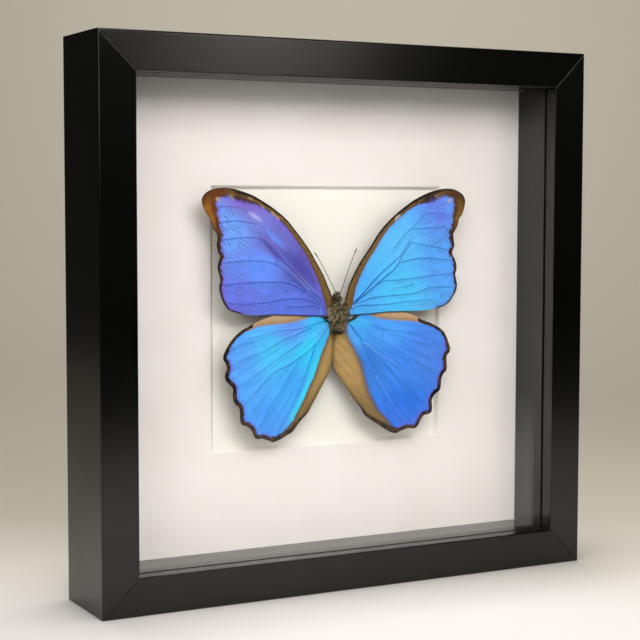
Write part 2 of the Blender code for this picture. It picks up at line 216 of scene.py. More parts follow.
def grid_quads(rows: int, columns: int, first: int = 0, close_columns: bool = False) -> Array:
    """Lists the quads of a grid of points that is stored row by row.

    Args:
        rows: Rows of points.
        columns: Points in a row.
        first: The number of the first point.
        close_columns: Whether each row closes on itself.

    Returns:
        Point numbers, four to a quad.
    """
    i, j = np.meshgrid(
        np.arange(rows - 1), np.arange(columns if close_columns else columns - 1), indexing="ij"
    )
    after = (j + 1) % columns
    corners = [i * columns + j, i * columns + after, (i + 1) * columns + after, (i + 1) * columns + j]
    return first + np.stack(corners, axis=-1).reshape(-1, 4)


@dataclass
class Draft:
    """Points and faces gathered for one mesh before Blender gets them."""

    name: str
    points: list[Array] = field(default_factory=list)
    faces: list[Array] = field(default_factory=list)
    count: int = 0

    def shell(self, points: Array, *faces: Array) -> int:
        """Adds one closed shell, with faces numbered from 0 and turned to face outwards.

        The shell's signed volume, summed over fans of triangles, says which way it is wound.

        Args:
            points: Points of any shape that ends in 3.
            *faces: Arrays of point numbers, one row a face.

        Returns:
            The number of points in the shell.
        """
        flat = np.asarray(points, float).reshape(-1, 3)
        local = flat - flat.mean(0)
        volume = 0.0
        for face in faces:
            for corner in range(1, face.shape[1] - 1):
                a, b, c = (local[face[:, number]] for number in (0, corner, corner + 1))
                volume += float(np.einsum("ij,ij->", a, np.cross(b, c)))
        self.faces += [(face if volume > 0 else face[:, ::-1]) + self.count for face in faces]
        self.points.append(flat)
        self.count += len(flat)
        return len(flat)

    def tube(self, rings: Array) -> int:
        """Adds rings of points joined into a tube, with a flat cap at each end.

        Args:
            rings: Points of shape (rings, around, 3).

        Returns:
            The number of points added.
        """
        count, around = rings.shape[:2]
        cap = np.arange(around)[None]
        return self.shell(
            rings, grid_quads(count, around, close_columns=True), cap[:, ::-1],
            cap + (count - 1) * around,
        )

    def build(self, material: Material, smooth: bool = True) -> Piece:
        """Makes the object at the origin.

        Args:
            material: What the whole piece is made of.
            smooth: Whether the faces are shaded smooth.

        Returns:
            The new object, linked to the scene.
        """
        points = np.concatenate(self.points)
        polygons = [polygon for face in self.faces for polygon in face.tolist()]
        mesh = bpy.data.meshes.new(self.name)
        mesh.from_pydata(points.tolist(), [], polygons)
        mesh.polygons.foreach_set("use_smooth", np.full(len(polygons), smooth))
        mesh.materials.append(material)
        mesh.update()
        made = bpy.data.objects.new(self.name, mesh)
        bpy.context.scene.collection.objects.link(made)
        return made


def store(made: Piece, name: str, values: Array) -> Piece:
    """Keeps a number or a colour for each point of a mesh as a named attribute.

    Args:
        made: The piece.
        name: The attribute's name.
        values: One row for each point.

    Returns:
        The same piece.
    """
    colour = values.ndim == 2
    kind = "FLOAT_COLOR" if colour else "FLOAT"
    attribute = made.data.attributes.new(name, kind, "POINT")
    if colour:
        values = np.concatenate([values, np.ones((len(values), 1))], axis=1)
    attribute.data.foreach_set("color" if colour else "value", values.astype(np.float32).ravel())
    return made


def finish_piece(made: Piece, slot: str, *nodes: str) -> Piece:
    """Fixes a piece to the frame's body and hides the solids that it stands for.

    Args:
        made: The piece.
        slot: The finish slot's name. Not used.
        *nodes: The solids that it stands for.

    Returns:
        The same piece.
    """
    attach(made, ROOT_BODY)
    if nodes:
        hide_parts(*nodes)
    LOG.info("%s: %d faces", made.name, len(made.data.polygons))
    return made


class Recipe:
    """Writes a node tree in short steps: a material's own tree, or a shared group's."""

    def __init__(self, tree: Tree) -> None:
        """Starts on an existing node tree."""
        self.tree = tree

    def node(self, kind: str, **settings: object) -> Node:
        """Adds a node and sets its properties.

        Args:
            kind: The node's type.
            **settings: Its properties.

        Returns:
            The node.
        """
        made = self.tree.nodes.new(kind)
        for name, value in settings.items():
            setattr(made, name, value)
        return made

    def feed(self, target: Socket, value: object) -> None:
        """Links a socket to a target, or sets a plain value on it.

        Args:
            target: The socket that is fed.
            value: A socket, a number or a colour.
        """
        if isinstance(value, Socket):
            self.tree.links.new(value, target)
        elif isinstance(value, tuple) and len(value) == 3 and len(target.default_value) == 4:
            target.default_value = (*value, 1)
        else:
            target.default_value = value

    def place(self) -> Socket:
        """The point's place in the object's own frame."""
        return self.node("ShaderNodeTexCoord").outputs["Object"]

    def attribute(self, name: str, output: str = "Fac") -> Socket:
        """A named attribute of the mesh."""
        return self.node("ShaderNodeAttribute", attribute_name=name).outputs[output]

    def result(
        self, kind: str, inputs: dict[int | str, object], output: int = 0, **settings: object
    ) -> Socket:
        """Adds a node, feeds its inputs and hands on one of its outputs.

        Args:
            kind: The node's type.
            inputs: What each input gets.
            output: The number of the output.
            **settings: Its properties.

        Returns:
            The output.
        """
        made = self.node(kind, **settings)
        for name, value in inputs.items():
            self.feed(made.inputs[name], value)
        return made.outputs[output]

    def math(self, operation: str, *values: object) -> Socket:
        """One step of arithmetic."""
        return self.result("ShaderNodeMath", dict(enumerate(values)), operation=operation)

    def stretch(self, place: Socket, scale: Triple) -> Socket:
        """A place stretched along each axis."""
        return self.result("ShaderNodeMapping", {"Vector": place, "Scale": scale})

    def noise(self, place: Socket, scale: object, detail: float = 3, rough: float = 0.5) -> Socket:
        """Cloudy noise from 0 to 1 at so many cells a metre."""
        inputs = {"Vector": place, "Scale": scale, "Detail": detail, "Roughness": rough}
        return self.result("ShaderNodeTexNoise", inputs)

    def span(self, value: Socket, low: float, high: float, start: object, end: object) -> Socket:
        """Maps low..high to start..end, held at both ends."""
        return self.result("ShaderNodeMapRange", dict(enumerate((value, low, high, start, end))))

    def blend(self, share: object, first: object, second: object, mode: str = "MIX") -> Socket:
        """Mixes two colours."""
        inputs = {0: share, 6: first, 7: second}
        return self.result("ShaderNodeMix", inputs, 2, data_type="RGBA", blend_type=mode)

    def bump(self, height: Socket, depth: float, strength: float = 1.0) -> Socket:
        """A normal bent by a height field that is depth metres deep."""
        inputs = {"Strength": strength, "Distance": depth, "Height": height}
        return self.result("ShaderNodeBump", inputs)

    def group(self, shared: Tree, **values: object) -> Node:
        """Places a shared group with its own values.

        Args:
            shared: The group.
            **values: What its inputs get.

        Returns:
            The group's node.
        """
        made = self.node("ShaderNodeGroup", node_tree=shared)
        for name, value in values.items():
            self.feed(made.inputs[name.replace("_", " ")], value)
        return made


class MaterialRecipe(Recipe):
    """A material with one Principled shader."""

    def __init__(self, name: str, **values: object) -> None:
        """Makes the material and sets plain values on its shader, such as Roughness=0.4.

        Args:
            name: The material's name.
            **values: Plain values, by socket.
        """
        self.material = bpy.data.materials.new(name)
        self.material.use_nodes = True
        super().__init__(self.material.node_tree)
        self.shader = self.tree.nodes["Principled BSDF"]
        for socket, value in values.items():
            self.set(socket.replace("_", " "), value)

    def set(self, socket: str, value: object) -> None:
        """Feeds one of the shader's sockets."""
        self.feed(self.shader.inputs[socket], value)


def shared_group(
    name: str, inputs: dict[str, float], outputs: Sequence[str]
) -> tuple[Tree, Recipe, Node, Node]:
    """Starts a node group of plain numbers.

    Args:
        name: The group's name.
        inputs: Its inputs, with their usual values. Place is always added, as a vector.
        outputs: Its outputs.

    Returns:
        The tree, a Recipe for it, its input node and its output node.
    """
    tree = bpy.data.node_groups.new(name, "ShaderNodeTree")
    tree.interface.new_socket("Place", in_out="INPUT", socket_type="NodeSocketVector")
    for label, value in inputs.items():
        socket = tree.interface.new_socket(label, in_out="INPUT", socket_type="NodeSocketFloat")
        socket.default_value = value
    for label in outputs:
        tree.interface.new_socket(label, in_out="OUTPUT", socket_type="NodeSocketFloat")
    return tree, Recipe(tree), tree.nodes.new("NodeGroupInput"), tree.nodes.new("NodeGroupOutput")


def fine_tooth() -> Tree:
    """The tooth of card, foam and board: fine bumps over slow clouds, and a mask of flecks.

    Returns:
        The group.
    """
    tree, recipe, given, result = shared_group(
        "fine tooth", {"Cells": 2500, "Cloud": 40}, ("Height", "Clouds", "Flecks")
    )
    place = given.outputs["Place"]
    fine = recipe.noise(place, given.outputs["Cells"], 4, 0.6)
    clouds = recipe.noise(place, given.outputs["Cloud"], 2)
    recipe.feed(result.inputs["Height"], fine)
    recipe.feed(result.inputs["Clouds"], recipe.span(clouds, 0.3, 0.7, 0.0, 1.0))
    recipe.feed(result.inputs["Flecks"], recipe.span(fine, 0.62, 0.74, 0.0, 1.0))
    return tree


def brushed_wear() -> Tree:
    """Fine scratches and dull patches on metal and lacquer.

    Returns:
        The group.
    """
    tree, recipe, given, result = shared_group("brushed wear", {"Cells": 900}, ("Scratches", "Patches"))
    place = given.outputs["Place"]
    drawn = recipe.stretch(place, (1, 1, 14))
    scratches = recipe.noise(drawn, given.outputs["Cells"], 5, 0.7)
    patches = recipe.noise(place, recipe.math("MULTIPLY", given.outputs["Cells"], 0.12), 3)
    recipe.feed(result.inputs["Scratches"], recipe.span(scratches, 0.35, 0.65, 0.0, 1.0))
    recipe.feed(result.inputs["Patches"], recipe.span(patches, 0.35, 0.7, 0.0, 1.0))
    return tree


@dataclass(frozen=True)
class CardFinish:
    """Matt card or board: a base colour, a slightly different cloud colour, and a fine tooth."""

    name: str
    colour: Triple
    cloud: Triple
    roughness: float = 0.85
    cells: float = 2500
    tooth: float = 0.02 * MM
    fleck: Triple | None = None

    def make(self, tooth: Tree) -> Material:
        """Builds the material around the shared tooth group.

        Args:
            tooth: The shared tooth group.

        Returns:
            The material.
        """
        recipe = MaterialRecipe(self.name, Roughness=self.roughness)
        grain = recipe.group(tooth, Place=recipe.place(), Cells=self.cells)
        colour = recipe.blend(grain.outputs["Clouds"], self.colour, self.cloud)
        if self.fleck is not None:
            colour = recipe.blend(grain.outputs["Flecks"], colour, self.fleck)
        recipe.set("Base Color", colour)
        recipe.set("Normal", recipe.bump(grain.outputs["Height"], self.tooth))
        return recipe.material


@dataclass(frozen=True)
class MetalFinish:
    """Plated sheet metal with fine scratches and dull patches."""

    name: str
    colour: Triple
    dull: Triple
    roughness: float = 0.32

    def make(self, wear: Tree) -> Material:
        """Builds the material around the shared wear group.

        Args:
            wear: The shared wear group.

        Returns:
            The material.
        """
        recipe = MaterialRecipe(self.name, Metallic=1.0)
        marks = recipe.group(wear, Place=recipe.place(), Cells=1400)
        recipe.set("Base Color", recipe.blend(marks.outputs["Patches"], self.colour, self.dull))
        low, high = self.roughness - 0.08, self.roughness + 0.15
        recipe.set("Roughness", recipe.span(marks.outputs["Scratches"], 0, 1, low, high))
        recipe.set("Normal", recipe.bump(marks.outputs["Scratches"], 0.01 * MM, 0.5))
        return recipe.material


@dataclass(frozen=True)
class LacquerFinish:
    """Satin black lacquer over fine wood grain that runs along each rail."""

    name: str = "satin black lacquer"
    colour: Triple = (0.0010, 0.0011, 0.0008)
    roughness: float = 0.2
    drawn_out: float = 0.85
    grain_depth: float = 0.06 * MM

    def make(self, wear: Tree) -> Material:
        """Builds the material.

        Along and across are lengths in metres on the rail's surface, and the highlight is drawn
        out across the grain.

        Args:
            wear: The shared wear group.

        Returns:
            The material.
        """
        recipe = MaterialRecipe(self.name, IOR=1.5, Anisotropic=self.drawn_out)
        across_grain = recipe.node("ShaderNodeTangent", direction_type="UV_MAP", uv_map="grain")
        recipe.set("Tangent", across_grain.outputs[0])
        along = recipe.attribute("along")
        across = recipe.attribute("across")
        drawn = recipe.math("MULTIPLY", along, 0.06)
        surface = recipe.result("ShaderNodeCombineXYZ", {0: drawn, 1: across})
        fibres = recipe.noise(surface, 1500, 5, 0.65)
        pores = recipe.noise(recipe.stretch(surface, (3, 1, 1)), 900, 3, 0.6)
        height = recipe.math("ADD", fibres, recipe.math("MULTIPLY", pores, 0.6))
        marks = recipe.group(wear, Place=recipe.place(), Cells=260)
        roughness = recipe.span(marks.outputs["Patches"], 0, 1, self.roughness, self.roughness + 0.04)
        recipe.set("Base Color", recipe.blend(pores, self.colour, shade(6, 7, 5)))
        recipe.set("Roughness", roughness)
        recipe.set("Normal", recipe.bump(height, self.grain_depth, 0.55))
        return recipe.material


@dataclass(frozen=True)
class GlassFinish:
    """Clear float glass that lets light from lamps straight through to what it covers."""

    name: str = "clear float glass"
    tint: Triple = (0.985, 0.995, 0.99)

    def make(self) -> Material:
        """Mixes clear transmission with plain transparency, which only rays from lamps meet.

        Returns:
            The material.
        """
        recipe = MaterialRecipe(self.name, Roughness=0.0, IOR=1.45, Transmission_Weight=1.0)
        recipe.set("Base Color", self.tint)
        clear = recipe.node("ShaderNodeBsdfTransparent").outputs[0]
        shadow = recipe.node("ShaderNodeLightPath").outputs["Is Shadow Ray"]
        glass = recipe.shader.outputs[0]
        both = recipe.result("ShaderNodeMixShader", {0: shadow, 1: glass, 2: clear})
        recipe.feed(recipe.tree.nodes["Material Output"].inputs["Surface"], both)
        return recipe.material


@dataclass(frozen=True)
class WingFinish:
    """Butterfly scales: pigment painted on the wing, overlaid with fine rows of scales."""

    name: str = "wing scales"
    rows_apart: float = 0.14
    gloss: float = 0.12

    def make(self) -> Material:
        """Builds the material from the wing's own attributes.

        pigment is the painted colour, blue how much of it is structural blue, and run the distance
        in millimetres out from the root.

        Returns:
            The material.
        """
        recipe = MaterialRecipe(self.name, Specular_IOR_Level=0.12)
        pigment = recipe.attribute("pigment", "Color")
        blue = recipe.attribute("blue")
        run = recipe.attribute("run")
        place = recipe.place()
        speckle = recipe.noise(place, 4200, 2, 0.7)
        clouds = recipe.noise(place, 420, 4, 0.6)
        wobble = recipe.math("MULTIPLY", clouds, 0.25)
        bent = recipe.math("ADD", run, wobble)
        rows = recipe.math("SINE", recipe.math("MULTIPLY", bent, 2 * math.pi / self.rows_apart))
        grain = recipe.math("ADD", recipe.math("MULTIPLY", rows, 0.22), speckle)
        darker = recipe.blend(1.0, pigment, (0.78, 0.82, 0.92), "MULTIPLY")
        colour = recipe.blend(recipe.span(grain, 0.35, 0.95, 0.55, 0.0), pigment, darker)
        colour = recipe.blend(recipe.span(clouds, 0.4, 0.75, 0.0, 0.3), colour, darker)
        recipe.set("Base Color", colour)
        recipe.set("Metallic", recipe.math("MULTIPLY", blue, self.gloss))
        recipe.set("Roughness", recipe.span(blue, 0, 1, 0.62, 0.46))
        recipe.set("Normal", recipe.bump(grain, 0.02 * MM, 0.5))
        return recipe.material


@dataclass(frozen=True)
class FurFinish:
    """Insect hair and cuticle whose colour is kept on the mesh."""

    name: str
    roughness: float = 0.55
    cells: float = 1800

    def make(self) -> Material:
        """Builds the material from the tone attribute, with fine variation over it.

        Returns:
            The material.
        """
        recipe = MaterialRecipe(self.name, Specular_IOR_Level=0.4)
        tone = recipe.attribute("tone", "Color")
        mottle = recipe.noise(recipe.place(), self.cells, 3)
        darker = recipe.blend(1.0, tone, (0.45, 0.4, 0.35), "MULTIPLY")
        recipe.set("Base Color", recipe.blend(recipe.span(mottle, 0.4, 0.7, 0.0, 0.8), tone, darker))
        recipe.set("Roughness", recipe.span(mottle, 0.3, 0.7, self.roughness, self.roughness + 0.2))
        recipe.set("Normal", recipe.bump(mottle, 0.03 * MM, 0.5))
        return recipe.material


@dataclass
class BoxFrame:
    """The four mitred rails and the V nails that pin them."""

    face_width: float = 17 * MM
    wall: float = 10 * MM
    lip_depth: float = 7 * MM
    front_radius: float = 0.9 * MM
    sight_radius: float = 0.45 * MM
    back_radius: float = 0.7 * MM
    mitre_break: float = 0.14 * MM
    stations: int = 40

    def __post_init__(self) -> None:
        """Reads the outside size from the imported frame."""
        low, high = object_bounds()
        self.side = high[2] - low[2]
        self.depth = high[1] - low[1]

    def section(self) -> Array:
        """The rail's L-shaped section as (inwards, depth) points.

        Each corner of the L is swapped for a quarter circle of its own radius, in five steps.

        Returns:
            The outline's points in order.
        """
        front, back = -self.depth / 2, self.depth / 2
        lip = front + self.lip_depth
        corners = [
            (0, front, self.front_radius), (self.face_width, front, self.sight_radius),
            (self.face_width, lip, 0.1 * MM), (self.wall, lip, 0.1 * MM),
            (self.wall, back, 0.3 * MM), (0, back, self.back_radius),
        ]
        points = np.array([corner[:2] for corner in corners])
        rounded = []
        for number, (_, _, radius) in enumerate(corners):
            here, before = points[number], points[number - 1]
            after = points[(number + 1) % len(points)]
            towards_before = (before - here) / norm(before - here)
            towards_after = (after - here) / norm(after - here)
            centre = here + radius * (towards_before + towards_after)
            turn = np.linspace(0, np.pi / 2, 6)[:, None]
            arc = towards_after * np.cos(turn) + towards_before * np.sin(turn)
            rounded.append(centre - radius * arc)
        return self.with_flats(np.concatenate(rounded))

    @staticmethod
    def with_flats(outline: Array) -> Array:
        """Adds points along the long flats, so that shading stays flat between the round edges.

        Args:
            outline: The outline's points.

        Returns:
            The outline with more points.
        """
        long, beside = 2 * MM, 0.15 * MM
        result = []
        for here, after in zip(outline, np.roll(outline, -1, axis=0)):
            result.append(here)
            gap = norm(after - here)
            if gap > long:
                shares = np.array([beside / gap, 0.5, 1 - beside / gap])[:, None]
                result.extend(here + shares * (after - here))
        return np.array(result)

    def rail(self, name: str, turns: int, material: Material) -> Piece:
        """Carries the section along the bottom rail and turns it to its side of the frame.

        Along the rail, a point at inward distance u runs from -(half - u) to +(half - u), which
        makes the mitres. The last ring at each end is drawn in a little, so each mitre shows as a
        fine line.

        Args:
            name: The piece's name.
            turns: Quarter turns from the bottom rail.
            material: The lacquer.

        Returns:
            The rail.
        """
        hairline, grain_apart = 0.02 * MM, 0.7
        section = self.section()
        middle = section.mean(0)
        half = self.side / 2
        between = np.linspace(-1, 1, self.stations)[1:-1]
        spots = np.concatenate([[-1] * 4, between, [1] * 4])
        shrink = np.zeros(len(spots))
        shrink[[0, -1]] = self.mitre_break
        shrink[[1, -2]] = 0.3 * self.mitre_break
        inward = section[:, 0] - middle[0]
        depth = section[:, 1] - middle[1]
        size = np.hypot(inward, depth)
        pull = shrink[:, None] / size
        u = middle[0] + inward * (1 - pull)
        y = middle[1] + depth * (1 - pull)
        reach = half - u - hairline
        inset = np.zeros(len(spots))
        inset[[1, -2]] = 0.3 * self.mitre_break
        inset[[2, -3]] = self.mitre_break
        inset[[3, -4]] = 4 * self.mitre_break
        x = spots[:, None] * (reach - inset[:, None])
        z = u - half
        turn = turns * math.pi / 2
        points = np.stack([
            x * math.cos(turn) - z * math.sin(turn),
            y,
            x * math.sin(turn) + z * math.cos(turn) + half,
        ], axis=-1)
        draft = Draft(name)
        draft.tube(points)
        made = draft.build(material)
        perimeter = lengths_along(section)
        along = (x + turns * grain_apart).ravel()
        across = np.broadcast_to(perimeter, x.shape).ravel()
        store(made, "along", along)
        store(made, "across", across)
        corners = np.empty(len(made.data.loops), np.int32)
        made.data.loops.foreach_get("vertex_index", corners)
        grain = made.data.uv_layers.new(name="grain")
        grain.data.foreach_set("uv", np.stack([across, along], axis=1)[corners].ravel())
        return made

    def corner_nail(self, corner: int, material: Material) -> Piece:
        """A V nail across a mitre, seen from behind as a bent strip just proud of the wood.

        The strip's centre line is a V with a rounded apex; it is thickened to both sides.

        Args:
            corner: The corner, anticlockwise from the bottom right.
            material: What it is made of.

        Returns:
            The nail.
        """
        leg, lean, thick = 5.6 * MM, math.radians(31), 0.4 * MM
        from_corner, deep, proud, rounding = 4 * MM, 8 * MM, 0.04 * MM, 0.1
        turn = np.linspace(-1, 1, 21)
        fold = np.sqrt(turn**2 + rounding**2) - rounding
        line = np.stack([fold * leg * math.cos(lean), turn * leg * math.sin(lean)], axis=1)
        slope = np.gradient(line, axis=0)
        normal = np.stack([-slope[:, 1], slope[:, 0]], axis=1)
        normal /= norm(normal, axis=1)[:, None]
        loop = np.concatenate([line + normal * thick, (line - normal * thick)[::-1]])
        start = (self.side / 2 - from_corner) * math.sqrt(2)
        inward = start - loop[:, 0]
        angle = -math.pi / 4 + corner * math.pi / 2
        x = inward * math.cos(angle) - loop[:, 1] * math.sin(angle)
        z = inward * math.sin(angle) + loop[:, 1] * math.cos(angle) + self.side / 2
        back = self.depth / 2
        rings = np.stack([
            np.stack([x, np.full_like(x, level), z], axis=1) for level in (back - deep, back + proud)
        ])
        names = ("bottom_right", "top_right", "top_left", "bottom_left")
        draft = Draft("visual_corner_nail_" + names[corner])
        draft.tube(rings)
        made = draft.build(material, smooth=False)
        return finish_piece(made, "zinc_steel", "corner_nail_" + names[corner])

    def build(self, lacquer: Material, zinc: Material) -> None:
        """Builds the rails and V nails.

        Args:
            lacquer: The finish of the rails.
            zinc: The finish of the nails.
        """
        for turns, side in enumerate(("bottom", "right", "top", "left")):
            made = self.rail("visual_rail_" + side, turns, lacquer)
            finish_piece(made, "frame_black", "frame_rail_" + side)
        for corner in range(4):
            self.corner_nail(corner, zinc)


@dataclass(frozen=True)
class Vein:
    """A line on a wing: its route in mm, how dark it is at both ends, and how wide and raised."""

    route: Path
    ink: Pair = (0.5, 0.3)
    width: float = 0.24
    height: float = 0.09


@dataclass(frozen=True)
class Spot:
    """An oval of colour on a wing, in mm, turned by an angle in degrees."""

    centre: Pair
    radii: Pair
    turn: float
    colour: Triple
    strength: float


@dataclass(frozen=True)
class Pleat:
    """An oval on a wing, in mm, where the membrane is finely wrinkled."""

    centre: Pair
    radii: Pair
    strength: float


@dataclass(frozen=True)
class Tint:
    """A pool of base colour on a wing, which fades into its neighbours."""

    centre: Pair
    colour: Triple


@dataclass
class Wing:
    """One wing: outline, veins and colours in mm, outwards and upwards from the body's middle."""

    name: str
    side: Side
    costa: Path
    margin: Path
    inner: Path
    depth: float
    seed: int
    veins: Sequence[Vein]
    tints: Sequence[Tint]
    spots: Sequence[Spot] = ()
    pleats: Sequence[Pleat] = ()
    crease: float = 1.0
    rays: float = 0.03
    out_steps: int = 321
    around_steps: int = 201
    dihedral: float = math.radians(1.5)
    half_thick: float = 0.06

    def grid(self) -> Array:
        """A grid of flat points over the wing, from the root out and from the costa round.

        It is the bilinearly blended patch between four edges: costa and inner margin run out from
        the root, and the root's straight edge faces the outer margin.

        Returns:
            Points of shape (out_steps, around_steps, 2).
        """
        out, around = self.out_steps, self.around_steps
        top = curve_through(self.costa, out)
        low = curve_through(self.inner, out)
        edge = curve_through(self.margin, around)
        s = (np.linspace(0, 1, out) ** 0.9)[:, None, None]
        t = np.linspace(0, 1, around)[None, :, None]
        even = np.linspace(0, 1, out)
        top, low = (
            np.stack([np.interp(s.ravel(), even, column) for column in line.T], axis=1)
            for line in (top, low)
        )
        root = top[0] * (1 - t[0]) + low[0] * t[0]
        ruled_out = (1 - t) * top[:, None] + t * low[:, None]
        ruled_round = (1 - s) * root[None] + s * edge[None]
        corners = (
            (1 - s) * (1 - t) * top[0] + (1 - s) * t * low[0] + s * (1 - t) * top[-1] + s * t * low[-1]
        )
        return ruled_out + ruled_round - corners

    def measure(self, flat: Array) -> Measures:
        """Measures each point against the outline and the veins.

        Args:
            flat: Flat points in mm, of shape (n, 2).

        Returns:
            costa, margin and inner (distances to those edges in mm), run (mm out from the root),
            vein (mm to the nearest vein), ink (darkness of the lines) and raised (height of the
            veins in mm).
        """
        straight, scalloped, steps_a_knot, far, ridge = 70, 160, 8, 1e3, 0.45
        found = {
            "costa": distance_to(flat, curve_through(self.costa, straight))[0],
            "margin": distance_to(flat, curve_through(self.margin, scalloped))[0],
            "inner": distance_to(flat, curve_through(self.inner, straight))[0],
            "run": norm(flat - self.costa[0], axis=1),
        }
        nearest = np.full(len(flat), far)
        ink = np.zeros(len(flat))
        raised = np.zeros(len(flat))
        for vein in self.veins:
            line = curve_through(vein.route, steps_a_knot * len(vein.route))
            gap, along = distance_to(flat, line)
            darkness = vein.ink[0] + (vein.ink[1] - vein.ink[0]) * along
            drawn = darkness * np.exp(-((gap / vein.width) ** 2))
            ink = np.where(np.abs(drawn) > np.abs(ink), drawn, ink)
            raised = np.maximum(raised, vein.height * np.exp(-((gap / ridge) ** 2)))
            nearest = np.minimum(nearest, gap)
        return found | {"vein": nearest, "ink": ink, "raised": raised}

    def wrinkles(self, flat: Array, found: Measures) -> Array:
        """Fine folds that slant from the veins into the cells, from -1 to 1.

        Two families, one slanting each way, share the wing out in patches. Each is a sine of the
        run plus a share of the distance from the vein, bent by slow noise. Both grow strongest in
        the pleated ovals and near the outer margin.

        Args:
            flat: Flat points in mm.
            found: What measure found.

        Returns:
            A number for each point.
        """
        zone = rise(24, 9, found["margin"]) * rise(0.5, 1.8, found["margin"])
        for patch in self.pleats:
            near = norm((flat - patch.centre) / patch.radii, axis=1)
            zone = np.maximum(zone, patch.strength * rise(1.2, 0.5, near))
        share = rise(-0.2, 0.2, ripple(flat, 15, self.seed + 51))
        folds = np.zeros(len(flat))
        for slant, apart, part in ((1.3, 2.1, share), (-1.6, 1.8, 1 - share)):
            bend = 1.2 * ripple(flat, 13, self.seed + 31) + 0.4 * ripple(flat, 4.5, self.seed + 41)
            folds += np.sin((found["run"] + slant * found["vein"] + bend) * 2 * np.pi / apart) * part
        zone = zone * self.crease * rise(-0.8, 0.2, ripple(flat, 5.5, self.seed + 61))
        return folds * zone * rise(0.1, 0.7, found["vein"])

    def relief(self, flat: Array, found: Measures) -> Array:
        """How far the membrane lies behind the wing's plane, in mm.

        It is the sum of the sag between the veins, slow waves that grow towards the margin, and the
        wrinkles.

        Args:
            flat: Flat points in mm.
            found: What measure found.

        Returns:
            A depth for each point.
        """
        sag = 0.22 * (1 - np.exp(-((found["vein"] / 2.4) ** 2)))
        free = rise(8, 60, found["run"])
        waves = 0.42 * free * ripple(flat, 34, self.seed) + 0.1 * free * ripple(flat, 11, self.seed + 1)
        return sag + waves + 0.05 * self.wrinkles(flat, found)

    def base_colour(self, flat: Array) -> Array:
        """Blends the pools of colour, each weighted by a falling power of its distance.

        Args:
            flat: Flat points in mm.

        Returns:
            A colour for each point.
        """
        weights = np.stack([
            1 / (norm(flat - tint.centre, axis=1) ** 2 + 6) ** 1.7
            for tint in self.tints
        ])
        colours = np.array([tint.colour for tint in self.tints])
        return (weights / weights.sum(0)).T @ colours

    def line_colours(self, colour: Array, flat: Array, found: Measures) -> Array:
        """Darkens or lightens the blue along veins, paints shade into the wrinkles' troughs and a
        highlight on their crests, over faint streaks.

        Args:
            colour: The blue so far.
            flat: Flat points in mm.
            found: What measure found.

        Returns:
            The blue with its lines.
        """
        folds = self.wrinkles(flat, found)
        streaks = ripple(flat, 1.3, self.seed + 13) + ripple(flat, 4.5, self.seed + 14)
        turned = np.arctan2(flat[:, 1], flat[:, 0])
        rays = ripple(np.stack([30 * turned, 0.09 * found["run"]], axis=1), 1.9, self.seed + 15)
        colour = colour * (1 + 0.03 * streaks + self.rays * rays)[:, None]
        # dark holds the veins' ink and painted shade in the wrinkles' troughs; light holds the pale
        # veins and a painted highlight on the wrinkles' crests.
        dark = np.maximum(np.clip(1.8 * found["ink"], 0, 1), 0.56 * np.clip(folds, 0, 1) ** 1.6)
        light = np.clip(np.maximum(-found["ink"], 0.4 * np.clip(-folds, 0, 1) ** 2), 0, 1)
        pale_lines_and_crease_highlights = mixed(colour, colour + (np.array([0.5, 0.66, 1.0]) - colour) * 0.6, light * (1 - dark))
        return mixed(pale_lines_and_crease_highlights, colour * np.array([0.07, 0.13, 0.30]), dark)

    def paint(self, flat: Array, found: Measures) -> tuple[Array, Array]:
        """Gives each point its pigment and how much of it is structural blue."""
        raise NotImplementedError

    def spotted(self, colour: Array, flat: Array) -> Array:
        """Lays the ovals over the colour, with ragged edges and a broken surface.

        Args:
            colour: The colours so far.
            flat: Flat points in mm.

        Returns:
            The colours with the ovals.
        """
        rough = 0.2 * ripple(flat, 1.9, self.seed + 11) + 0.16 * ripple(flat, 0.9, self.seed + 12)
        for spot in self.spots:
            turn = math.radians(spot.turn)
            axes = np.array([[math.cos(turn), math.sin(turn)], [-math.sin(turn), math.cos(turn)]])
            local = (flat - spot.centre) @ axes.T / spot.radii
            inside = rise(1.3, 0.5, norm(local, axis=1) + rough)
            share = spot.strength * inside * (1 + 0.5 * np.minimum(rough, 0))
            colour = mixed(colour, spot.colour, share)
        return colour

    def fold_back(self, flat: Array) -> Array:
        """Extra depth in mm where part of the wing is folded back. None by default."""
        return np.zeros(len(flat))

    def solid_points(self, flat: Array, found: Measures, face: float) -> Array:
        """Places flat points in the world, on the wing's front (face = -1) or back (face = 1).

        Args:
            flat: Flat points in mm.
            found: What measure found.
            face: -1 for the front, 1 for the back.

        Returns:
            Points in metres.
        """
        back = self.relief(flat, found) + self.fold_back(flat)
        back = back + face * (self.half_thick + found["raised"])
        across = flat[:, 0] * math.cos(self.dihedral)
        depth = self.depth - flat[:, 0] * math.sin(self.dihedral) + back
        x = WING_CENTRE[0] + self.side.value * across
        return np.stack([x, depth, WING_CENTRE[1] + flat[:, 1]], axis=1) * MM

    def build(self, material: Material) -> Piece:
        """Makes the wing as a thin closed shell.

        It has a fine front, a back with half the rows each way, and a rim of five-cornered faces
        that joins every second front point to a back point.

        Args:
            material: What it is made of.

        Returns:
            The wing.
        """
        grid = self.grid()
        draft = Draft("visual_" + self.name)
        sheets, solid, quads = [], [], []
        for points, face in ((grid, -1.0), (grid[::2, ::2], 1.0)):
            flat = points.reshape(-1, 2)
            found = self.measure(flat)
            pigment, blue = self.paint(flat, found)
            if face > 0:
                pigment, blue = self.underside(flat, found), blue * 0
            sheets.append((pigment, blue, found["run"]))
            sheet = grid_quads(points.shape[0], points.shape[1], sum(map(len, solid)))
            quads.append(sheet if face < 0 else sheet[:, ::-1])
            solid.append(self.solid_points(flat, found, face))
        draft.shell(np.concatenate(solid), *quads, self.rim(grid.shape[0], grid.shape[1]))
        made = draft.build(material)
        for name, parts in zip(("pigment", "blue", "run"), zip(*sheets)):
            store(made, name, np.concatenate(parts))
        return made

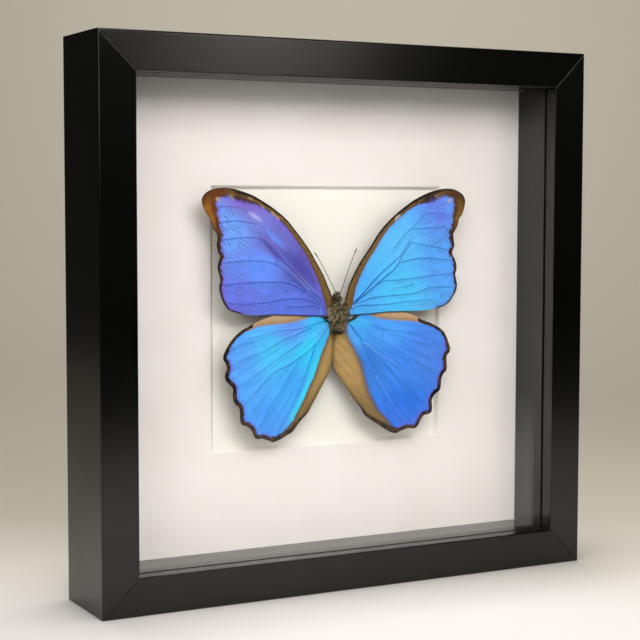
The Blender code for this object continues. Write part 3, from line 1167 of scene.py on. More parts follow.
    @staticmethod
    def rim(rows: int, columns: int) -> Array:
        """Five-cornered faces round the edge: three front points and the two back points behind.

        Args:
            rows: Rows of front points.
            columns: Front points in a row.

        Returns:
            Point numbers, five to a face.
        """
        half_columns = (columns + 1) // 2
        first_back = rows * columns
        i = np.arange(0, rows - 1, 2)
        j = np.arange(0, columns - 1, 2)
        last_row, last_column = rows - 1, columns - 1
        walk = [
            *[(0, column) for column in j], *[(row, last_column) for row in i],
            *[(last_row, column) for column in (j + 2)[::-1]], *[(row, 0) for row in (i + 2)[::-1]],
        ]
        steps = [(0, 1)] * len(j) + [(1, 0)] * len(i) + [(0, -1)] * len(j) + [(-1, 0)] * len(i)
        place, step = np.array(walk), np.array(steps)

        def front(at: Array) -> Array:
            """Numbers of points on the front."""
            return at[:, 0] * columns + at[:, 1]

        def back(at: Array) -> Array:
            """Numbers of points on the back."""
            return first_back + at[:, 0] // 2 * half_columns + at[:, 1] // 2

        end = place + 2 * step
        return np.stack([front(end), front(place + step), front(place), back(place), back(end)], axis=1)

    def underside(self, flat: Array, found: Measures) -> Array:
        """The brown underside: mottled tan and dark brown with pale rings near the margin.

        Args:
            flat: Flat points in mm.
            found: What measure found.

        Returns:
            A colour for each point.
        """
        clouds = ripple(flat, 7, self.seed + 21)[:, None]
        brown = np.array(shade(96, 68, 42)) * (1 + 0.35 * clouds)
        dark = np.array(shade(48, 32, 20))
        line = np.clip(np.abs(found["ink"]) * 1.2, 0, 0.8)[:, None]
        ring = np.exp(-(((found["margin"] - 9) / 2.2) ** 2)) * rise(0.2, 0.8, ripple(flat, 8, 77))
        pale = np.array(shade(196, 170, 120))
        colour = brown * (1 - line) + dark * line
        return np.clip(colour * (1 - 0.6 * ring[:, None]) + pale * 0.6 * ring[:, None], 0.005, 1)


@dataclass
class Forewing(Wing):
    """A forewing: a brown costal band and apex, and a brown edge that narrows downwards."""

    band_widths: Path = (
        (2, 5.4), (6, 4.7), (10, 3.8), (16, 3.1), (28, 2.6), (40, 2.6), (45, 3.4), (48, 4.6),
        (52, 4.9), (54, 4.3), (56, 3.6), (59, 3.6), (62, 4.4), (66, 7.5), (70, 9),
    )
    edge_widths: Path = (
        (0, 0.6), (5, 0.8), (15, 1.3), (27, 1.7), (33, 2.0), (38, 2.6), (43, 3.4), (47, 4.4),
        (51, 6.2), (54, 7.4),
    )
    dark_shares: Path = ((0, 0.1), (14, 0.14), (26, 0.24), (38, 0.42), (52, 0.3), (60, 0.12))
    band_tone: Triple = shade(124, 92, 48)
    tip_tone: Triple = shade(158, 102, 26)
    tip_umber: Triple = shade(104, 56, 16)
    fringe: float = 0.6
    fringe_tone: Triple = shade(120, 96, 214)

    def paint(self, flat: Array, found: Measures) -> tuple[Array, Array]:
        """Blue inside, with a violet fringe, then the costal band and the outer edge over it.

        The band's width is read off along the outward direction and the edge's width along the
        upward one; both borders are roughened by noise.

        Args:
            flat: Flat points in mm.
            found: What measure found.

        Returns:
            The colours, and how blue each is.
        """
        rough = 0.12 * ripple(flat, 2.2, self.seed + 2) + 0.1 * ripple(flat, 0.9, self.seed + 3)
        apex = rise(46, 60, flat[:, 0] + 0.2 * (flat[:, 1] - 50))
        rough = rough * (1 + 2.5 * apex)
        band = np.interp(flat[:, 0], *np.array(self.band_widths).T) + rough
        edge = np.interp(flat[:, 1], *np.array(self.edge_widths).T) + rough
        on_band = rise(band + 0.3 + 0.5 * apex, band - 0.4, found["costa"])
        on_edge = rise(edge + 0.3, edge - 0.35, found["margin"])
        brown = np.maximum(on_band, on_edge)
        inside = np.minimum(found["costa"] - band, found["margin"] - edge)
        blue = self.line_colours(self.base_colour(flat), flat, found)
        blue = mixed(blue, self.fringe_tone, self.fringe * rise(2.2, 0.2, inside + 1.2 * rough))
        colour = mixed(blue, self.band_colour(flat, found, band, edge), brown)
        hem = 0.85 * rise(0.6, 0.2, found["inner"]) * rise(46, 30, flat[:, 0])
        colour = self.spotted(mixed(colour, shade(20, 14, 26), hem), flat)
        return np.clip(colour, 0.003, 1), 1 - brown

    def band_colour(self, flat: Array, found: Measures, band: Array, edge: Array) -> Array:
        """The brown of the costal band and of the outer edge.

        Across the band: near-black outside for a share that grows outwards, brown, then umber
        beside the blue. Across the edge: amber outside at the wing's tip, umber elsewhere, with
        the veins drawn through it in black.

        Args:
            flat: Flat points in mm.
            found: What measure found.
            band: The width of the band at each point.
            edge: The width of the outer edge.

        Returns:
            A brown for each point.
        """
        streaks = ripple(flat * np.array([0.55, 1.2]), 2.4, self.seed + 8)
        fine = ripple(flat, 1.0, self.seed + 12)
        black, umber = np.array(shade(24, 16, 10)), np.array([shade(64, 36, 16)])
        high = rise(34, 46, flat[:, 1])
        tip_umber = mixed(umber, self.tip_umber, high)
        share = found["costa"] / np.maximum(band, 0.5) + 0.05 * streaks
        dark = np.interp(flat[:, 0], *np.array(self.dark_shares).T)
        band_tone = np.array(self.band_tone) * (1 + 0.13 * streaks + 0.1 * fine)[:, None]
        inner_dark = 0.5 + 0.4 * rise(20, 34, flat[:, 0])
        band_tone = mixed(band_tone, umber, inner_dark * rise(0.6, 0.95, share))
        band_tone = mixed(band_tone, black, 0.9 * rise(dark + 0.16, dark - 0.1, share))
        outer = rise(0.85, 0.3, found["margin"] / edge + 0.12 * streaks)
        amber = outer * rise(1.0, 4.5, found["costa"]) * rise(36, 45, flat[:, 1])
        amber = amber * (0.85 + 0.25 * streaks)
        edge_tone = mixed(tip_umber * (1 + 0.2 * fine)[:, None], self.tip_tone, amber)
        edge_tone = mixed(edge_tone, black, 0.6 * np.exp(-((found["vein"] / 0.4) ** 2)))
        tip = rise(54, 62, flat[:, 0] + 0.15 * (flat[:, 1] - 50))
        nearer = rise(-1, 1, found["costa"] - found["margin"])
        colour = mixed(band_tone, edge_tone, np.maximum(tip, nearer))
        rim = np.maximum(
            0.9 * rise(0.6, 0.25, found["costa"]) * rise(3, 26, flat[:, 0]),
            0.85 * rise(0.55, 0.2, found["margin"]) * rise(58, 44, flat[:, 1]),
        )
        return mixed(colour, shade(16, 10, 5), rim)


@dataclass
class Hindwing(Wing):
    """A hindwing: a scalloped dark rim, a tan costal strip, and a tan fold beside the abdomen."""

    strip: Path = ()
    fold: Path = ()
    rim_width: float = 1.9
    fold_depth: float = 1.6
    fold_tone: Triple = shade(172, 139, 86)
    softness: float = 0.6
    crease: float = 0.22
    rays: float = 0.07
    streak: float = 0.0

    def fold_line(self, flat: Array) -> Array:
        """How far outside the fold's border a point lies, in mm across."""
        border = np.array(sorted(self.fold, key=lambda knot: knot[1]))
        return flat[:, 0] - np.interp(flat[:, 1], border[:, 1], border[:, 0])

    def fold_back(self, flat: Array) -> Array:
        """The fold curls back beside the abdomen, more the nearer it comes to the body."""
        inside = np.clip(-self.fold_line(flat), 0, 12)
        return self.fold_depth * (inside / 8) ** 1.5 * rise(-52, -30, flat[:, 1])

    def paint(self, flat: Array, found: Measures) -> tuple[Array, Array]:
        """Blue, then the tan strip and fold, with painted shade along the fold's inner edge and under
        the body, then the dark rim.

        Args:
            flat: Flat points in mm.
            found: What measure found.

        Returns:
            The colours, and how blue each is.
        """
        strip = np.array(self.strip)
        rough = 0.12 * ripple(flat, 2.0, self.seed + 2) + 0.1 * ripple(flat, 0.8, self.seed + 3)
        above = flat[:, 1] - np.interp(flat[:, 0], strip[:, 0], strip[:, 1]) + rough
        slant = self.fold_line(flat)
        on_strip = rise(-0.9, 0.6, above)
        on_fold = rise(self.softness, -self.softness, slant + rough)
        on_fold = on_fold * rise(-1, -5, flat[:, 1])
        blue = self.line_colours(self.base_colour(flat), flat, found)
        inside = np.minimum(found["margin"] - self.rim_width, 3) + 1.5 * rough
        blue = mixed(blue, shade(112, 100, 226), 0.55 * rise(2.4, 0.0, inside))
        streak = rise(3.3, 2.2, slant + rough) * rise(-13, -21, flat[:, 1])
        streak = self.streak * streak * rise(-53, -46, flat[:, 1])
        blue = mixed(blue, shade(64, 220, 255), streak * (1 - 0.5 * np.clip(found["ink"], 0, 1)))
        hairs = ripple(np.stack([slant * 2.2, flat[:, 1] * 0.22], axis=1), 1.7, self.seed + 4)
        low = rise(-26, -54, flat[:, 1])
        fold = np.array(self.fold_tone) * ((1 - 0.5 * low) * (1 + 0.08 * hairs))[:, None]
        middle = rise(-1.5, -4.5, slant) * rise(-44, -28, flat[:, 1])
        fold = fold * (1 + 0.2 * middle * (1 + 0.3 * hairs))[:, None]
        # Painted shade along the inner edge, where the two folds meet, stronger lower down.
        fold = mixed(fold, shade(84, 60, 18), rise(2.6, 0.1, found["inner"]) * (0.5 + 0.3 * low))
        fold = mixed(fold, shade(74, 44, 22), 0.75 * rise(-2.6, 0.2, slant))
        # Painted shade of the body, darkest where the fold starts under the thorax.
        root = rise(-17, -8, flat[:, 1] - 2.0 * found["inner"])
        fold = mixed(fold, shade(60, 42, 12), 0.8 * root)
        colour = mixed(self.spotted(blue, flat), fold, on_fold)
        tan_strip = np.array(shade(198, 164, 122)) * (1 + 0.1 * hairs)[:, None]
        tan_strip = mixed(tan_strip, shade(150, 104, 66), 0.6 * rise(2.6, 0.0, above))
        colour = mixed(colour, tan_strip, on_strip)
        colour, rim = self.rimmed(colour, flat, found, rough)
        return np.clip(colour, 0.003, 1), np.clip(1 - np.maximum(on_fold, on_strip) - rim, 0, 1)

    def rimmed(
        self, colour: Array, flat: Array, found: Measures, rough: Array
    ) -> tuple[Array, Array]:
        """Draws the near-black rim, with red-brown showing through the middle of it in places.

        Args:
            colour: The colours so far.
            flat: Flat points in mm.
            found: What measure found.
            rough: Noise that roughens the borders.

        Returns:
            The colours, and how far each is on the rim.
        """
        far = 1e3
        upper = np.where(flat[:, 1] > -30, found["costa"], far)
        outer = np.minimum(found["margin"], np.where(flat[:, 0] > 44, upper + 0.4, far))
        lower = np.where(flat[:, 1] < -40, 0.7 * found["inner"] + 0.13 * (flat[:, 1] + 56), far)
        outer = np.minimum(outer, np.clip(lower, 0, far))
        width = self.rim_width * (1 + 0.9 * rough)
        on_rim = rise(width + 0.3, width - 0.3, outer)
        middle = rise(0.3, 0.6, outer) * rise(width - 0.3, width - 0.8, outer)
        middle = middle * rise(-0.5, 0.5, ripple(flat, 3.4, self.seed + 9))
        band = mixed(np.array([shade(24, 15, 11)]), shade(98, 58, 26), middle)
        return mixed(colour, band, on_rim), on_rim


def tints(*rows: tuple[float, float, int, int, int]) -> list[Tint]:
    """Pools of colour from rows of (outwards, upwards, red, green, blue)."""
    return [Tint(row[:2], shade(*row[2:])) for row in rows]


def ovals(*groups: tuple[tuple[float, ...], ...]) -> list[Spot]:
    """Ovals from groups of a colour and rows of (outwards, upwards, radii, turn, strength)."""
    return [Spot(row[:2], row[2:4], row[4], group[0], row[5]) for group in groups for row in group[1:]]


LEFT_FOREWING: dict[str, object] = dict(
    costa=[
        (1.6, 3.4), (2.5, 6.2), (3.3, 8.7), (5.5, 13.5), (7.7, 18.3), (11, 23.6), (14.7, 29.5),
        (19, 34.9), (22.8, 39.3), (27, 43.8), (32.5, 48.2), (39.4, 52.4), (45, 55.2), (49.7, 56.7),
        (54, 57.8), (57.8, 58.2), (62.3, 58), (66.6, 56.8), (69.1, 54.7), (69.9, 53.1),
    ],
    margin=[
        (69.9, 53.1), (69.6, 51), (68.3, 48.1), (66.4, 45.2), (65.2, 42.9), (64.2, 39.9), (62.4, 37.6),
        (62.2, 35.5), (62.5, 32.6), (61.9, 29.9), (60.9, 27.6), (61.7, 25.2), (62.1, 22.5),
        (61.2, 18.8), (61, 16.7), (61.5, 14), (61, 10.8), (60.2, 8.4), (59, 6.1), (57, 3.7),
        (53.9, 2.4), (50.3, 1.4),
    ],
    inner=[
        (1.6, -1.6), (7.4, -1.2), (19, -0.4), (27, 0.1), (32.6, 0.4), (44.6, 0.6), (50.3, 1.4),
    ],
    veins=[
        Vein([(61.9, 49.7), (57.8, 49.9), (52.7, 49.7), (47.6, 48.5)], (0.5, 0.2)),
        Vein([(63.1, 42.1), (58.8, 43.1), (55.3, 43.4), (50.1, 43.3), (42.4, 42)], (0.5, 0.35)),
        Vein([(60.4, 34.5), (57.8, 35.2), (54, 35.6), (42.4, 35.6), (38.5, 34.2)], (0.5, 0.4)),
        Vein([(38.5, 34.2), (35.6, 30.7), (33, 27.1), (31.6, 23.5)], (0.45, 0.2), 0.35),
        Vein([(38.5, 34.2), (32, 28.4), (22.5, 18.6), (12, 9.3), (6.5, 4.2)], (0.15, 0.4), 0.28),
        Vein([(60.4, 24.5), (52, 25.2), (42.4, 25.4), (33, 23.6), (24, 17), (12.5, 7.4), (6.3, 2.6)],
              (0.4, 0.3), 0.25),
        Vein([(60.4, 14.7), (46.3, 15.5), (33, 15.4), (27.4, 15), (23.1, 13.5), (17.5, 10.5)],
              (0.4, 0.5)),
        Vein([(57.9, 6.4), (47.6, 5.8), (37.9, 6.2), (26.9, 7.5), (17, 7), (10, 4.2)], (0.35, 0.45)),
        Vein([(27.4, 4.3), (19.4, 3.6), (14, 3.9), (7.5, 2)], (0.3, 0.5), 0.21),
        # These two pale lines are painted highlights along veins of the cell.
        Vein([(30.8, 25), (22.5, 18), (14.8, 11.2)], (-0.25, -0.55), 0.35, 0.14),
        Vein([(26, 23.7), (19, 17), (12.3, 10.2)], (-0.2, -0.45), 0.28, 0.1),
        Vein([(37, 38.5), (36, 37), (31, 32), (26, 28)], (-0.35, -0.1), 0.4, 0.1),
        Vein([(38.5, 34.2), (41.5, 38.5), (47.6, 48.5), (50, 53.5)], (0.1, 0.05), 0.22),
    ],
)

RIGHT_FOREWING: dict[str, object] = dict(
    costa=[
        (1.4, 3.2), (3, 4.2), (4.4, 8), (6.5, 14.2), (9.5, 19.9), (12.6, 24.9), (16.6, 30.2),
        (20.4, 35.4), (25.9, 41.6), (30.3, 45.5), (34.7, 48.9), (41, 53), (48, 56.2), (53.6, 57.8),
        (58, 58.4), (62.3, 58.2), (65.7, 57), (68.4, 55), (69.4, 52.3),
    ],
    margin=[
        (69.4, 52.3), (68.7, 49.3), (67.3, 45.9), (65.8, 43.9), (65.3, 41.4), (64.2, 39), (62.9, 37),
        (63, 34.3), (63.5, 31.3), (62.2, 27.3), (63.7, 24.6), (64.7, 21.6), (64.5, 19.1), (63.8, 17.2),
        (64.4, 14.9), (64.9, 11.9), (64.2, 9), (62.7, 6.5), (60.4, 3.6), (58.2, 2.2), (54.1, 1.1),
    ],
    inner=[
        (1.4, -1.5), (10.1, -1), (18.3, -0.7), (26.6, -0.2), (35.1, -0.1), (48.4, 0.3), (54.1, 1.1),
    ],
    veins=[
        Vein([(7.1, 3.7), (13.8, 9.5), (20.6, 16.3), (28.8, 23), (33, 26.1), (38.6, 34)], (0.75, 0.3),
              0.28),
        Vein([(7.1, 3.7), (12.5, 7.2), (22.8, 14.9), (32.5, 23.1), (34.4, 26.8), (36.6, 29.2),
              (39.1, 32.9)], (0.8, 0.4), 0.28),
        Vein([(29.5, 30), (33.2, 33.9), (37.1, 37.7), (39.1, 38.9), (44.7, 39.4), (51.5, 39.7),
              (57.8, 39.8), (59.7, 38)], (0.3, 0.45)),
        Vein([(39.1, 38.9), (43.5, 43.5), (47.2, 46.4), (53.1, 46.6), (57.7, 46.1)], (0.3, 0.4)),
        Vein([(39.1, 32.9), (47.6, 31.3), (53.3, 30.5), (61.9, 28.2)], (0.35, 0.4)),
        Vein([(33.8, 23.4), (38.9, 24.5), (44.8, 25.1), (60.9, 24.2)], (0.55, 0.35)),
        Vein([(20, 12.6), (24.2, 14.6), (30.3, 14.9), (38.9, 15.5), (50, 16.6), (63.1, 17.7)],
              (0.4, 0.4)),
        Vein([(28.5, 10.5), (32.6, 11.5), (39, 12.3), (40.7, 13.2)], (0.2, 0.5), 0.2, 0.05),
        Vein([(8.5, 4), (17.9, 6.7), (26.2, 7.5), (42.1, 8.8), (48.9, 10.8), (61.4, 11.1)],
              (0.5, 0.35)),
        Vein([(7.1, 2), (10.3, 3.1), (17.9, 3.4), (26.2, 3.6), (35.9, 4.6), (52, 5.2)], (0.55, 0.2)),
        Vein([(49, 12), (47.8, 9), (47.2, 6)], (0.35, 0.3), 0.18, 0.04),
        Vein([(38.6, 34), (45, 46), (49.5, 53.5)], (0.12, 0.05), 0.21),
    ],
)

LEFT_HINDWING: dict[str, object] = dict(
    costa=[
        (1.5, -4.4), (4.6, -3.1), (8.3, -1.7), (13.5, 0.6), (20, 2.5), (28, 2), (35.7, -0.6),
        (40.3, -2), (44.8, -3.9), (49.4, -6.1), (52.7, -8.3), (55.5, -11), (57.7, -14.2),
    ],
    margin=[
        (57.7, -14.2), (59, -17.1), (59.1, -18.9), (57.9, -20.6), (57.1, -23.1), (57.9, -25.9),
        (58.1, -27), (57.5, -28.7), (55.9, -30.4), (53.9, -32.9), (54.1, -35), (53.9, -37.5),
        (52.6, -39.8), (51.2, -41), (50.6, -43.4), (50.7, -46.4), (49.7, -49.2), (47.4, -49.9),
        (44.6, -52.6), (44, -54.5), (42.4, -56.2), (39.9, -56.2), (36.4, -57.3), (33.6, -58.5),
    ],
    inner=[
        (1.4, -7.8), (1.4, -14), (1.4, -20.8), (1.5, -22.8), (3.7, -28.8), (5.7, -32.1), (8.1, -35.5),
        (10.4, -39), (13, -42.6), (15.6, -46.2), (18.7, -48.9), (21, -51.5), (23.9, -54.6),
        (26.4, -55.7), (29.7, -57.3), (33.6, -58.5),
    ],
    strip=[
        (0, 4), (11, 1.5), (15, -1.2), (17.2, -2), (20.9, -2.9), (27.3, -3.7), (33.9, -3.9),
        (41.4, -4.6), (46.2, -6.3), (49, -6.6), (52, -6.5),
    ],
    fold=[
        (2.2, -3), (3.5, -4.4), (4, -8.6), (4.5, -10.7), (5.9, -13.7), (7.4, -16.8), (8.8, -19.8),
        (10.2, -24), (11.9, -28.4), (14.3, -32.9), (16.2, -36.6), (18.1, -40), (19.9, -43),
        (21.4, -45.6), (23, -48.7), (24.9, -50.6), (27.9, -53.5), (30.3, -55.9), (31.5, -59),
    ],
    veins=[
        Vein([(5.5, -3.4), (9.1, -4), (13.8, -5.1), (17.2, -6.2), (20.9, -6.6), (25.6, -6.7),
              (30.9, -7), (46, -9.8)], (0.55, 0.05), 0.21),
        Vein([(13.8, -6.4), (20.9, -8.7), (23.3, -9.7), (27.9, -11.1), (34.9, -14.5), (50.7, -20)],
              (0.5, 0.1), 0.21),
        Vein([(21.2, -8.7), (21.6, -10)], (0.45, 0.45), 0.17, 0.04),
        Vein([(18.5, -12.8), (23.3, -15.3), (27.9, -17.9), (33.7, -21.2), (50, -31.5)], (0.45, 0.08),
              0.21),
        Vein([(4.5, -6.2), (6.6, -8.6), (9.1, -11.7), (11.5, -14.3), (13.8, -16.1), (19.7, -20),
              (25.6, -23.2), (32.6, -25.8), (46, -38.5)], (0.75, 0.1), 0.24),
        Vein([(11.9, -15.1), (12.8, -17.6), (13.7, -20.7), (15, -23.8), (16.7, -28), (24, -42),
              (31, -53)], (0.5, 0.08), 0.21),
        Vein([(19.7, -20), (27, -30.5), (37, -44), (42, -52)], (0.25, 0.08), 0.24),
        Vein([(54.8, -14.3), (50.7, -12.6), (44, -11.4)], (0.35, 0.05), 0.21, 0.05),
        Vein([(4.4, -5), (9, -9), (16, -13.2), (24, -17.8)], (-0.3, -0.05), 2.6, 0),
    ],
)

RIGHT_HINDWING: dict[str, object] = dict(
    costa=[
        (1.5, -5.2), (4.5, -4.7), (9.9, -3), (14.5, 0.4), (20, 2.5), (29, 2), (36.1, -0.3), (41, -1.8),
        (46.1, -4.4), (51.1, -6.2), (53.6, -7.4), (56.1, -8.8), (58.2, -10.5), (59.7, -13), (61, -16.3),
    ],
    margin=[
        (61, -16.3), (61.9, -18.8), (61.6, -20.7), (60.3, -22), (59.9, -24.4), (60.2, -27.2),
        (60.1, -29.3), (58.3, -31.4), (57.3, -34.1), (57.1, -37), (56.3, -39.3), (54, -40.8),
        (52.3, -43.3), (52.3, -47.7), (51.9, -49.3), (50.1, -50.4), (48.1, -50.6), (45.9, -52.9),
        (44.6, -55.2), (43.1, -56.7), (41.6, -56.9), (39.1, -56.6), (36.7, -57.1), (34.4, -57.8),
        (32.5, -58.6),
    ],
    inner=[
        (-1, -7.8), (-1, -14), (-1.1, -20.2), (-0.5, -22.3), (0.4, -25.8), (1.7, -28.6), (4, -31.9),
        (6.4, -35.9), (8.9, -39.8), (10.7, -42.5), (12.7, -44.9), (14.9, -48.5), (18.5, -51.3),
        (21.4, -53.1), (25.8, -56), (30.5, -58.3), (32.5, -58.6),
    ],
    strip=[
        (0, 4), (14, 1), (18.2, -1.3), (21.8, -2.7), (25.4, -3.4), (34.2, -4.4), (38.7, -4.7),
        (43.6, -5.3), (50.1, -7), (52, -7.4), (55, -7.4),
    ],
    fold=[
        (3.4, -3), (4.6, -6), (5.2, -8), (6.3, -11.1), (8.8, -15.4), (11.1, -19.7), (13.5, -24),
        (14.5, -27.4), (16, -32.8), (17.7, -37.8), (20.1, -42.6), (22.6, -47), (26, -50), (28.4, -52.7),
        (30.4, -55.2), (31.5, -59),
    ],
    veins=[
        Vein([(5.5, -2.8), (9.1, -3.1), (13.4, -4.7), (18.2, -5.9), (23.3, -7.6), (44, -10.5)],
              (0.6, 0.05), 0.21),
        Vein([(23.3, -7.6), (24.7, -9.6), (24.7, -11.7)], (0.3, 0.4), 0.17, 0.05),
        Vein([(6.3, -4.7), (8, -6.7), (9.6, -8.8), (12, -11.3), (14.2, -14.5)], (0.7, 0.2), 0.27),
        Vein([(14.2, -14.5), (16.6, -15.3), (20.6, -18.4), (25, -21.1), (29.2, -23.5), (44, -36)],
              (-0.55, -0.05), 0.29),
        Vein([(14.2, -14.5), (15.2, -16.2), (15.9, -18.4), (20, -28), (30, -46)], (0.25, 0), 0.21),
        Vein([(18, -9.5), (25.5, -13.4), (32.8, -17.8), (50, -28)], (-0.1, -0.1), 0.27),
        Vein([(21, -30), (24.5, -35.5), (30.5, -44.5), (36, -52)], (-0.35, -0.1), 0.35),
        Vein([(24, -22), (33, -33), (43, -46)], (0.15, 0.1), 0.24),
        Vein([(4.9, -5.6), (7.6, -9.5), (10.5, -14), (13.8, -20)], (-0.25, -0.05), 1.6, 0),
    ],
)


@dataclass
class Fur:
    """Tapered three-sided hairs, bent along their length, gathered into one mesh."""

    draft: Draft
    rings: int = 4
    tones: list[Array] = field(default_factory=list)

    def grow(self, roots: Array, lean: Array, length: Array, droop: Array, thick: float,
             tone: Array) -> None:
        """Grows a hair from each root.

        At share s of its length a hair's middle is root + lean*length*s + droop*length*s^2, and its
        radius falls as (1 - s)^0.6. Its colour is painted darker towards the root, as painted shade
        among the hairs.

        Args:
            roots: Where the hairs start, in metres.
            lean: The direction in which each starts.
            length: How long each is.
            droop: Which way each bends, as a share of its length.
            thick: The radius at the root.
            tone: The colour of each.
        """
        count, sides, thinnest, taper = len(roots), 3, 0.06, 0.6
        askew = np.array([0.31, 0.17, 0.93])
        s = np.linspace(0, 1, self.rings)[None, :, None]
        reach = length[:, None, None]
        middle = roots[:, None] + lean[:, None] * reach * s + droop[:, None] * reach * s**2
        axis = lean / norm(lean, axis=1)[:, None]
        side = np.cross(axis, askew)
        side /= norm(side, axis=1)[:, None]
        other = np.cross(axis, side)
        turn = np.arange(sides) * 2 * np.pi / sides
        ring = (
            side[:, None, None] * np.cos(turn)[None, None, :, None]
            + other[:, None, None] * np.sin(turn)[None, None, :, None]
        )
        radius = thick * np.maximum(1 - s, thinnest) ** taper
        points = middle[:, :, None] + ring * radius[..., None]
        per_hair = self.rings * sides
        quads = grid_quads(self.rings, sides, close_columns=True)
        caps = np.array([[2, 1, 0], [per_hair - 3, per_hair - 2, per_hair - 1]])
        firsts = (np.arange(count) * per_hair)[:, None, None]
        self.draft.shell(points, (firsts + quads).reshape(-1, 4), (firsts + caps).reshape(-1, 3))
        # Painted shade: each hair runs from dark at its root to light at its tip, for the shade among
        # the hairs.
        root_to_tip_shade = np.repeat(np.linspace(0.35, 1.15, self.rings), sides)[None, :, None]
        self.tones.append((tone[:, None] * root_to_tip_shade).reshape(-1, 3))

    def build(self, material: Material) -> Piece:
        """Makes the mesh with each hair's colour, painted shade included, on it."""
        return store(self.draft.build(material), "tone", np.concatenate(self.tones))


def all_of(tone: Triple, count: int) -> Array:
    """One colour for each of count points."""
    return np.array(tone) * np.ones((count, 1))


def unit(vectors: Array) -> Array:
    """Scales vectors to length 1."""
    return vectors / norm(vectors, axis=-1, keepdims=True)


def rounded_tube(route: Array, radii: Array, sides: int = 12) -> Array:
    """Rings of points round a route: at each point a circle in the plane across the route.

    Args:
        route: Points along the middle.
        radii: The radius at each.
        sides: Points in a ring.

    Returns:
        Points of shape (rings, sides, 3).
    """
    ahead = unit(np.gradient(route, axis=0))
    side = unit(np.cross(ahead, np.array([0.0, 1.0, 0.0])))
    other = np.cross(ahead, side)
    turn = np.linspace(0, 2 * np.pi, sides, endpoint=False)[None, :, None]
    ring = side[:, None] * np.cos(turn) + other[:, None] * np.sin(turn)
    return route[:, None] + ring * radii[:, None, None]


